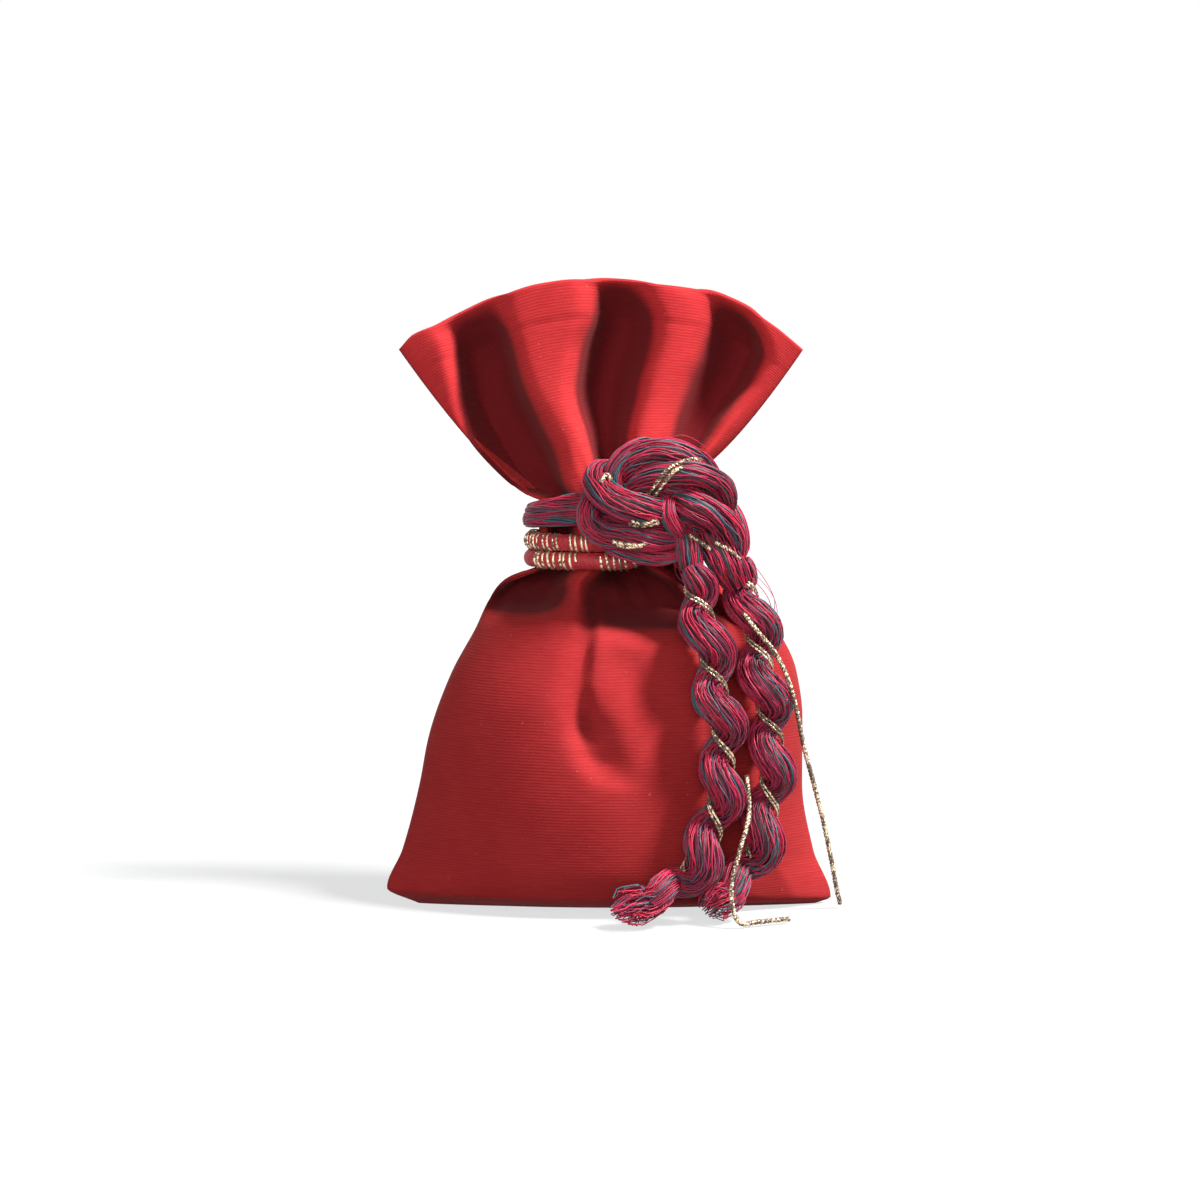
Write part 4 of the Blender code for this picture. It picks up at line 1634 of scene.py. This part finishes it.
@dataclass
class SkeinKnot:
    """The skein where it goes round the neck and makes the knot."""

    bag: ClothBag
    gap: float = 0.3 * MM
    turn_thickness: float = 3.0 * MM
    turn_width: float = 5.4 * MM
    turn_start: float = -62.0
    turn_end: float = 254.0
    fan_from: float = 182.0
    fan_angle: float = 60.0
    strands: tuple[tuple[float, float], ...] = ((-0.26, 0.4), (0.22, 2.6), (-0.04, 4.9))
    thread: float = 0.27 * MM
    spacing: float = 0.22 * MM
    core_share: float = 0.84

    def place(self, point: Point) -> Point:
        """Moves a place in the knot to the part's frame.

        Args:
            point: Millimetres across, ahead and above, from the knot's own corner.

        Returns:
            The place, in metres.
        """
        across, ahead, above = point
        face = self.bag.neck_half_depth + self.gap + self.turn_thickness
        return (
            self.bag.neck_shift + across * MM,
            -face - ahead * MM,
            self.bag.shoulder_height + above * MM,
        )

    def knot_guides(self) -> list[Guide]:
        """Makes the guides of the knot's bundles and of its core.

        Returns:
            The guides.
        """
        guides = []
        for number, bundle in enumerate(KNOT_BUNDLES):
            path = curve_through([self.place(p) for p in bundle.route], 0.9 * MM)
            radius = 0.5 * bundle.diameter * MM - 0.5 * self.thread
            full = fullness_along(path, radius, bundle.start_full, bundle.end_full)
            guides.append(Guide(path, full, number))
        return guides

    def turn_guides(self) -> list[Guide]:
        """Makes the guides of the strands that lie one over another in the turn round the neck.

        Returns:
            The guides.
        """
        guides = []
        for number, (share, phase) in enumerate(self.strands):
            turn = np.linspace(math.radians(self.turn_start), math.radians(self.turn_end), 120)
            out = self.gap + 0.5 * self.turn_thickness + 0.30 * MM * np.sin(2.5 * turn + phase)
            x = self.bag.neck_shift + (self.bag.neck_half_width + out) * np.cos(turn)
            y = (self.bag.neck_half_depth + out) * np.sin(turn)

            # The strands fan out where they come to the front
            fan = np.clip((turn - math.radians(self.fan_from)) / math.radians(self.fan_angle), 0, 1)
            middle = self.bag.tie_top(x) - 0.5 * self.turn_width + fan * 0.5 * MM
            spread = share * (0.80 + 0.55 * fan) + 0.05 * np.sin(2 * turn + phase)
            z = middle + self.turn_width * spread
            radius = 0.5 * self.turn_thickness * (0.86 + 0.10 * np.sin(3 * turn + phase) + 0.22 * fan)
            guides.append(Guide(np.stack([x, y, z], axis=1), radius - 0.15 * MM, 20 + number))
        return guides

    def build(self, threads: ThreadBundle, material: bpy.types.Material) -> list[bpy.types.Object]:
        """Grows the knot and the turn as two pieces.

        Args:
            threads: The tree that grows threads.
            material: The threads' material.

        Returns:
            The knot and the turn.
        """
        looks = {
            "Thread_Diameter": self.thread, "Spacing": self.spacing, "Core_Share": self.core_share,
        }
        knot = threads.grow(
            "skein_knot", self.knot_guides(), material,
            Twist=9.0, Wander=1.3, Looseness=0.16, Seed=3, **looks,
        )
        turn = threads.grow(
            "skein_turn", self.turn_guides(), material,
            Twist=16.0, Wander=1.1, Looseness=0.17, Seed=8, **looks,
        )
        return [knot, turn]


@dataclass
class SkeinTail:
    """One twisted end of the skein: a fat strand that winds round the line that it hangs along."""

    name: str
    route: tuple[Point, ...]
    seed: int
    phase: float
    fringe_reach: Point
    strand: float = 6.3 * MM
    wind: float = 1.80 * MM
    turn: float = 13.6 * MM
    step: float = 0.7 * MM
    ends_of_winding: float = 6.0 * MM
    open_at_start: float = 2.0 * MM
    thread: float = 0.24 * MM
    spacing: float = 0.17 * MM
    fringe_spacing: float = 0.12 * MM
    diameter: float = 9.6 * MM
    cord_diameter: float = 0.72 * MM
    cord_pitch: float = 1.4 * MM
    cord_radius: float = 2.0 * MM
    cord_spread: float = 0.20
    cord_step: float = 0.35 * MM
    cord_left_out: tuple[int, int] = (8, 24)

    def line(self) -> np.ndarray:
        """The line that the tail hangs along."""
        return curve_through(self.route, self.step)

    def wound(self, offset: float, radius: float, spacing: float) -> np.ndarray:
        """Makes a path that winds round the tail's line.

        Args:
            offset: Angle added to the strand's own, in radians.
            radius: Distance from the line.
            spacing: Distance between points, along the line.

        Returns:
            The path.
        """
        line = curve_through(self.route, spacing)
        run = run_along(line)
        ahead, side = path_frame(line, np.array([0.0, -1.0, 0.0]))
        angle = 2 * math.pi * run / self.turn + self.phase + offset
        from_end = np.minimum(run + self.open_at_start, run[-1] - run)
        share = np.clip(from_end / self.ends_of_winding, 0, 1)[:, None]
        away = np.cos(angle)[:, None] * ahead - np.sin(angle)[:, None] * side
        return line + radius * share * away

    def guide(self) -> Guide:
        """Makes the guide of the fat strand, which is fuller on the side that is seen.

        Returns:
            The guide.
        """
        path = self.wound(0.0, self.wind, self.step)
        run = run_along(self.line())
        angle = 2 * math.pi * run / self.turn + self.phase
        swell = 1 + 0.10 * np.cos(angle - 0.5) + 0.04 * np.sin(0.37 * angle + self.seed)
        full = 0.5 * self.strand * swell
        full *= np.clip(0.62 + run / 0.008, 0, 1) * np.clip(0.80 + (run[-1] - run) / 0.02, 0, 1)
        return Guide(path, full - 0.5 * self.thread, self.seed)

    def cord_lines(self) -> list[np.ndarray]:
        """Makes the paths of the two gold cords that lie side by side round the tail.

        Returns:
            The paths, which stop short of the tail's ends.
        """
        first, last = self.cord_left_out
        return [
            self.wound(math.pi + shift, self.cord_radius, self.cord_step)[first:-last]
            for shift in (-self.cord_spread, self.cord_spread)
        ]

    def build(self, threads: ThreadBundle, material: bpy.types.Material) -> bpy.types.Object:
        """Grows the tail's threads.

        Args:
            threads: The tree that grows threads.
            material: The threads' material.

        Returns:
            The tail.
        """
        return threads.grow(
            self.name, [self.guide()], material, Thread_Diameter=self.thread, Spacing=self.spacing,
            Twist=14.0, Wander=1.3, Looseness=0.19, Core_Share=0.84, Seed=self.seed,
        )

    def fringe(self, threads: ThreadBundle, material: bpy.types.Material) -> bpy.types.Object:
        """Grows the loose threads at the tail's cut end.

        Args:
            threads: The tree that grows threads.
            material: The threads' material.

        Returns:
            The fringe.
        """
        path = self.guide().path
        away = np.array(self.fringe_reach)
        middle = path[-1] + 0.5 * away + np.array([0.0, 0.0, 0.4 * MM])
        ends = [tuple(place) for place in (path[-6], path[-1], middle, path[-1] + away)]
        line = curve_through(ends, self.step)
        at = np.linspace(0, 1, len(line))

        # The fringe opens towards its end, as far as the floor lets it
        low = np.clip(line[:, 2] - 0.5 * MM, 1.0 * MM, None)
        full = np.minimum((2.3 + 1.9 * at) * MM, low)
        return threads.grow(
            f"{self.name}_fringe", [Guide(line, full, self.seed + 1)], material,
            Thread_Diameter=self.thread, Spacing=self.fringe_spacing, Twist=6.0, Wander=1.6,
            Looseness=0.80, Core_Share=0.05, Seed=self.seed + 4, Fray=0.45,
        )


@dataclass
class GoldCord:
    """A thin cord of two metal-wound plies."""

    name: str
    route: tuple[Point, ...]
    diameter: float = 1.1 * MM
    plies_pitch: float = 1.7 * MM

    def line(self) -> np.ndarray:
        """The cord's middle."""
        return curve_through(self.route, 0.30 * MM)

    def build(self, threads: ThreadBundle, material: bpy.types.Material) -> bpy.types.Object:
        """Grows the plies round the cord's middle.

        Args:
            threads: The tree that grows threads.
            material: The cord's material.

        Returns:
            The cord.
        """
        return ply_cord(threads, self.name, [self.line()], self.diameter, self.plies_pitch, material)


def ply_cord(threads: ThreadBundle, name: str, lines: Sequence[np.ndarray], diameter: float,
             pitch: float, material: bpy.types.Material) -> bpy.types.Object:
    """Grows a twisted cord along each of several lines.

    Args:
        threads: The tree that grows threads.
        name: The piece's name.
        lines: The middle of each cord.
        diameter: The cord's diameter.
        pitch: Length of one turn of its plies.
        material: The cord's material.

    Returns:
        The piece.
    """
    reach = 0.26 * diameter
    guides = [Guide(line, np.full(len(line), reach), i) for i, line in enumerate(lines)]
    return threads.grow(
        name, guides, material, Thread_Diameter=0.48 * diameter, Spacing=2 * math.pi * reach / 3.0,
        Twist=1.0 / pitch, Wander=0.0, Looseness=0.0, Core_Share=0.6, Seed=5,
    )


@dataclass
class RedBraid:
    """The braid: two turns round the neck, one on top of the other."""

    bag: ClothBag
    height: float = 3.1 * MM
    thickness: float = 2.6 * MM
    gap: float = 0.3 * MM
    start: float = -42.0
    end: float = 625.0
    climb_from: float = 275.0
    climb_to: float = 312.0
    swell: float = 0.035
    plait: float = 1.9 * MM
    sides: int = 20
    steps: int = 300

    def path(self) -> np.ndarray:
        """Works out the braid's middle, from one hidden end to the other.

        Returns:
            The path, in equal steps of angle.
        """
        turn = np.linspace(math.radians(self.start), math.radians(self.end), self.steps)
        low, high = math.radians(self.climb_from), math.radians(self.climb_to)
        out = self.gap + 0.5 * self.thickness
        x = self.bag.neck_shift + (self.bag.neck_half_width + out) * np.cos(turn)
        y = (self.bag.neck_half_depth + out) * np.sin(turn)
        climb = np.clip((turn - low) / (high - low), 0, 1)
        rise = (self.height + self.gap) * climb * climb * (3 - 2 * climb)
        return np.stack([x, y, self.bag.shoulder_height + 0.5 * self.height + rise], axis=1)

    def build(self, material: bpy.types.Material) -> bpy.types.Object:
        """Sweeps the braid's rounded section along its path.

        Args:
            material: The braid's material.

        Returns:
            The braid.
        """
        path = self.path()
        up, out = path_frame(path, np.array([0.0, 0.0, 1.0]))
        angle = 2 * math.pi * np.arange(self.sides) / self.sides
        run = run_along(path)
        shape = bmesh.new()
        rows = []
        for p, u, v, s in zip(path, up, out, run):
            swell = 1 + self.swell * np.sin(2 * math.pi * (s / self.plait + angle / math.pi))
            ring = p + (0.5 * self.height * np.cos(angle) * swell)[:, None] * u
            ring = ring + (0.5 * self.thickness * np.sin(angle) * swell)[:, None] * v
            rows.append([shape.verts.new(q) for q in ring])
        for a, b in zip(rows, rows[1:]):
            for k in range(self.sides):
                j = (k + 1) % self.sides
                shape.faces.new((a[k], a[j], b[j], b[k]))
        shape.faces.new(rows[0][::-1])
        shape.faces.new(rows[-1])
        bmesh.ops.recalc_face_normals(shape, faces=shape.faces)
        mesh = bpy.data.meshes.new("red_braid")
        shape.to_mesh(mesh)
        shape.free()
        mesh.shade_smooth()
        mesh.materials.append(material)
        return new_object("red_braid", mesh)


@dataclass(frozen=True)
class GoldStretches:
    """The parts of the braid that are wound with gold, as angles round its two turns."""

    front: tuple[tuple[float, float], ...] = (
        (206.0, 245.0), (261.0, 286.0), (549.0, 591.0), (599.0, 613.0),
    )
    back: tuple[tuple[float, float], ...] = (
        (18.0, 52.0), (88.0, 124.0), (148.0, 170.0), (392.0, 430.0), (455.0, 500.0), (512.0, 530.0),
    )
    pitch: float = 1.12 * MM
    thread: float = 0.56 * MM
    lift: float = 0.05 * MM
    step: float = 0.11 * MM
    guide_radius: float = 0.02 * MM

    def build(self, braid: RedBraid, threads: ThreadBundle,
              material: bpy.types.Material) -> bpy.types.Object:
        """Winds gold thread round the braid.

        Args:
            braid: The braid.
            threads: The tree that grows threads.
            material: The gold.

        Returns:
            The gold winding.
        """
        path = braid.path()
        up, out = path_frame(path, np.array([0.0, 0.0, 1.0]))
        run = run_along(path)
        turn = np.linspace(braid.start, braid.end, len(path))
        guides = []
        for number, (start, end) in enumerate(self.front + self.back):
            at = np.arange(*np.interp([start, end], turn, run), self.step)
            centre, rise, side = (
                np.stack([np.interp(at, run, rows[:, k]) for k in range(3)], axis=1)
                for rows in (path, up, out)
            )

            # Two slow waves make the turns lie unevenly, as worn thread does
            angle = 2 * math.pi * at / self.pitch
            angle = angle + 0.9 * np.sin(at / (0.83 * MM)) + 0.7 * np.sin(at / (0.31 * MM))
            line = centre + ((0.5 * braid.height + self.lift) * np.cos(angle))[:, None] * rise
            line = line + ((0.5 * braid.thickness + self.lift) * np.sin(angle))[:, None] * side
            guides.append(Guide(line, np.full(len(line), self.guide_radius), number))
        return threads.grow(
            "gold_wrap", guides, material, Thread_Diameter=self.thread, Spacing=1.0 * MM,
            Twist=0.0, Wander=0.0, Looseness=0.0, Core_Share=0.05, Seed=2,
        )


# Where the gold cord lies on the knot: millimetres across and above, from the knot's own corner
GOLD_ON_KNOT = (
    ((6.2, 14.6), (8.0, 17.2), (9.8, 19.3), (11.7, 20.3), (13.9, 21.0), (16.0, 20.8)),
    ((7.3, 14.3), (9.1, 16.8), (10.7, 18.8), (12.4, 19.8)),
    ((2.6, 8.9), (5.0, 8.6), (8.2, 9.5)),
    ((3.2, 9.6), (5.6, 9.3), (7.6, 10.0)),
    ((-0.4, 5.8), (2.1, 5.4), (5.1, 5.0)),
    ((0.4, 5.2), (3.0, 4.8), (5.9, 5.6)),
    ((13.8, 7.0), (16.0, 5.6), (17.8, 4.3)),
    ((18.6, 5.7), (20.9, 4.4), (23.2, 2.5)),
    ((-2.5, 17.0), (-1.4, 18.2), (-0.6, 17.2)),
)

# Routes of the loose hairs, in millimetres from the knot's own corner
HAIRS = (
    ((23.6, 0.6, 1.6), (26.6, 1.6, -1.0), (29.3, 1.8, -4.2), (30.3, 1.4, -7.2), (30.1, 0.8, -10.0)),
    ((23.2, 0.8, 0.6), (25.9, 2.0, -1.6), (28.4, 2.4, -4.6), (29.6, 2.0, -8.0)),
    ((23.9, 0.2, 3.0), (26.2, 0.4, 0.8), (28.6, 0.8, -2.6), (29.9, 0.8, -5.8), (29.3, 1.0, -9.4)),
    ((12.2, 4.6, 4.4), (11.3, 5.2, 2.2), (11.2, 5.4, 0.4), (12.2, 5.4, -1.4), (13.8, 5.2, -2.2)),
    ((12.6, 4.4, 4.0), (12.0, 5.4, 1.6), (12.3, 5.6, -0.6), (13.6, 5.6, -1.8)),
    ((-4.8, 2.2, 16.8), (-6.0, 2.6, 15.0), (-6.6, 2.2, 12.6), (-6.0, 2.0, 10.4)),
    ((9.0, 3.2, 24.2), (12.2, 3.4, 25.4), (15.4, 2.4, 24.2), (17.8, 1.0, 21.8)),
)


@dataclass
class KnotTrim:
    """Gold cord that lies on the knot, and hairs that have come loose from it."""

    knot: SkeinKnot
    cord: float = 1.05 * MM
    pitch: float = 1.9 * MM
    lift: float = 0.18 * MM
    deepest: float = 0.25 * MM
    hair: float = 0.13 * MM
    guide_radius: float = 0.01 * MM

    def laid(self, places: Sequence[tuple[float, float]], cover: BVHTree) -> np.ndarray:
        """Lays a line on the front of the knot.

        Args:
            places: (across, above) places in the knot, in millimetres.
            cover: The knot's surface.

        Returns:
            The line's points.
        """
        flat = curve_through([self.knot.place((a, 0.0, z)) for a, z in places], 0.28 * MM)
        far_ahead = -0.06
        depth = []
        for x, y, z in flat:
            hit = cover.ray_cast(Vector((x, far_ahead, z)), Vector((0, 1, 0)))[0]
            depth.append(hit.y if hit else (depth[-1] if depth else y))
        depth = np.array(depth)

        # The cord bridges narrow gaps between bundles, and sinks only a little into wide ones
        span = 11
        padded = np.pad(depth, span // 2, mode="edge")
        even = np.convolve(padded, np.ones(span) / span, mode="valid")
        flat[:, 1] = np.minimum(even, depth + self.deepest) - self.lift
        return flat

    def gold(self, cover: bpy.types.Object, threads: ThreadBundle,
             material: bpy.types.Material) -> bpy.types.Object:
        """Lays the gold cord on the knot.

        Args:
            cover: The knot.
            threads: The tree that grows threads.
            material: The cord's material.

        Returns:
            The cord.
        """
        mesh = cover.data
        surface = BVHTree.FromPolygons([v.co for v in mesh.vertices], [p.vertices for p in mesh.polygons])
        lines = [self.laid(places, surface) for places in GOLD_ON_KNOT]
        return ply_cord(threads, "gold_on_knot", lines, self.cord, self.pitch, material)

    def hairs(self, threads: ThreadBundle, material: bpy.types.Material) -> bpy.types.Object:
        """Grows the loose hairs.

        Args:
            threads: The tree that grows threads.
            material: The hairs' material.

        Returns:
            The hairs.
        """
        lines = [curve_through([self.knot.place(p) for p in route], 0.7 * MM) for route in HAIRS]
        guides = [Guide(line, np.full(len(line), self.guide_radius), i) for i, line in enumerate(lines)]
        return threads.grow(
            "loose_hairs", guides, material, Thread_Diameter=self.hair, Spacing=1.0 * MM,
            Twist=0.0, Wander=0.0, Looseness=0.0, Core_Share=0.05, Seed=4,
        )


# Studio


@dataclass
class Studio:
    """The camera, the lamps, the floor and the backdrop."""

    lens: float = 100.0
    distance: float = 0.635
    elevation: float = 5.0
    target: Point = (-0.0017, 0.0, 0.0584)
    key: Point = (0.62, -0.30, 0.90)
    key_angle: float = 12.0
    key_strength: float = 7.2
    front: Point = (-0.20, -1.0, 0.20)
    front_angle: float = 50.0
    front_strength: float = 2.1
    ambient: float = 0.10
    floor_size: float = 6.0
    floor_bounce: float = 0.12
    floor_matt: float = 0.19
    floor_glow: float = 0.70

    def camera(self) -> None:
        """Places the camera at the photograph's angle."""
        data = bpy.data.cameras.new("camera")
        data.lens = self.lens
        camera = bpy.data.objects.new("camera", data)
        bpy.context.scene.collection.objects.link(camera)
        lift = math.radians(self.elevation)
        back = Vector((0, -math.cos(lift), math.sin(lift)))
        camera.location = Vector(self.target) + self.distance * back
        camera.rotation_euler = (-back).to_track_quat("-Z", "Y").to_euler()
        data.clip_start = 0.01
        bpy.context.scene.camera = camera

    def sun(self, name: str, towards: Point, angle: float, strength: float) -> None:
        """Adds a far lamp.

        Args:
            name: The lamp's name.
            towards: Direction from the pouch to the lamp.
            angle: How wide the lamp looks from the pouch, in degrees.
            strength: Its strength.
        """
        data = bpy.data.lights.new(name, "SUN")
        data.angle = math.radians(angle)
        data.energy = strength
        lamp = bpy.data.objects.new(name, data)
        lamp.rotation_euler = (-Vector(towards)).to_track_quat("-Z", "Y").to_euler()
        bpy.context.scene.collection.objects.link(lamp)

    def world(self) -> None:
        """Lights the scene softly, with white behind it."""
        world = bpy.data.worlds.new("studio")
        world.use_nodes = True
        t = NodeTree(world.node_tree)
        shader = world.node_tree.nodes["Background"]
        path = t.add("ShaderNodeLightPath").outputs
        seen = t.maths("MAXIMUM", path["Is Camera Ray"], path["Is Glossy Ray"])
        seen = t.maths("MAXIMUM", seen, path["Is Transmission Ray"])
        strength = t.add("ShaderNodeMapRange", i0=seen, i1=0.0, i2=1.0, i3=self.ambient, i4=1.0).outputs[0]
        t.feed(shader.inputs["Strength"], strength)
        shader.inputs["Color"].default_value = (1, 1, 1, 1)
        bpy.context.scene.world = world

    def floor(self) -> None:
        """Lays a white floor that keeps the pouch's shadow."""
        shape = bmesh.new()
        bmesh.ops.create_grid(shape, x_segments=1, y_segments=1, size=self.floor_size)
        mesh = bpy.data.meshes.new("studio_floor")
        shape.to_mesh(mesh)
        shape.free()
        material = bpy.data.materials.new("white_floor")
        material.use_nodes = True
        t = NodeTree(material.node_tree)
        t.tree.nodes.remove(t.tree.nodes["Principled BSDF"])
        out = t.tree.nodes["Material Output"]
        path = t.add("ShaderNodeLightPath").outputs
        seen = t.maths("MAXIMUM", path["Is Camera Ray"], path["Is Glossy Ray"])
        bounced, direct = ((grey, grey, grey, 1) for grey in (self.floor_bounce, self.floor_matt))
        matt = t.add("ShaderNodeBsdfDiffuse", Color=t.blend(seen, bounced, direct)).outputs[0]
        strength = t.maths("MULTIPLY", seen, self.floor_glow)
        glow = t.add("ShaderNodeEmission", Color=(0.985, 0.99, 1, 1), Strength=strength)
        both = t.add("ShaderNodeAddShader", i0=matt, i1=glow.outputs[0])
        t.feed(out.inputs["Surface"], both.outputs[0])
        mesh.materials.append(material)
        new_object("studio_floor", mesh)

    def build(self) -> None:
        """Sets up the studio."""
        self.camera()
        self.sun("key", self.key, self.key_angle, self.key_strength)
        self.sun("front", self.front, self.front_angle, self.front_strength)
        self.world()
        self.floor()
        bpy.context.scene.view_settings.view_transform = "Standard"


def main() -> None:
    """Builds the dressed pouch, piece by piece."""
    Studio().build()
    bag = ClothBag()
    threads = ThreadBundle()
    skein = SkeinFinish().material()
    gold = GoldFinish().material()
    leaf = GoldFinish(name="gold_leaf", wear=0.46).material()

    for side, route, seed, phase, reach in (
        (Side.LEFT, TAIL_LEFT_ROUTE, 11, 0.2, (-0.0072, -0.0024, -0.0022)),
        (Side.RIGHT, TAIL_RIGHT_ROUTE, 17, 1.6, (-0.0046, -0.0034, -0.0022)),
    ):
        tail = SkeinTail(f"twisted_tail_{side.value}", route, seed, phase, reach)
        piece = tail.build(threads, skein)
        finished(piece, "crimson_thread", f"skein_tail_{side.value}")
        fringe = tail.fringe(threads, skein)
        finished(fringe, "crimson_thread")
        tail.line()
        name, winding = f"gold_winding_{side.value}", tail.cord_lines()
        finished(ply_cord(threads, name, winding, tail.cord_diameter, tail.cord_pitch, gold), "gold_cord")

    for side, route in ((Side.LEFT, GOLD_LEFT_ROUTE), (Side.RIGHT, GOLD_RIGHT_ROUTE)):
        cord = GoldCord(f"gold_end_{side.value}", route)
        piece = cord.build(threads, gold)
        finished(piece, "gold_cord", f"gold_cord_{side.value}")
        cord.line()

    cloth = bag.build(ClothFinish().material())
    finished(cloth, "red_cloth", "pouch_body")

    skein_knot = SkeinKnot(bag)
    knot, turn = skein_knot.build(threads, skein)
    finished(knot, "crimson_thread", "skein_tie")
    finished(turn, "crimson_thread")
    trim = KnotTrim(skein_knot)
    finished(trim.gold(knot, threads, gold), "gold_cord")
    finished(trim.hairs(threads, skein), "crimson_thread")

    braid = RedBraid(bag)
    finished(braid.build(BraidFinish().material()), "gold_braid", "gold_braid")
    finished(GoldStretches().build(braid, threads, leaf), "gold_braid")


if __name__ == "__main__":
    main()
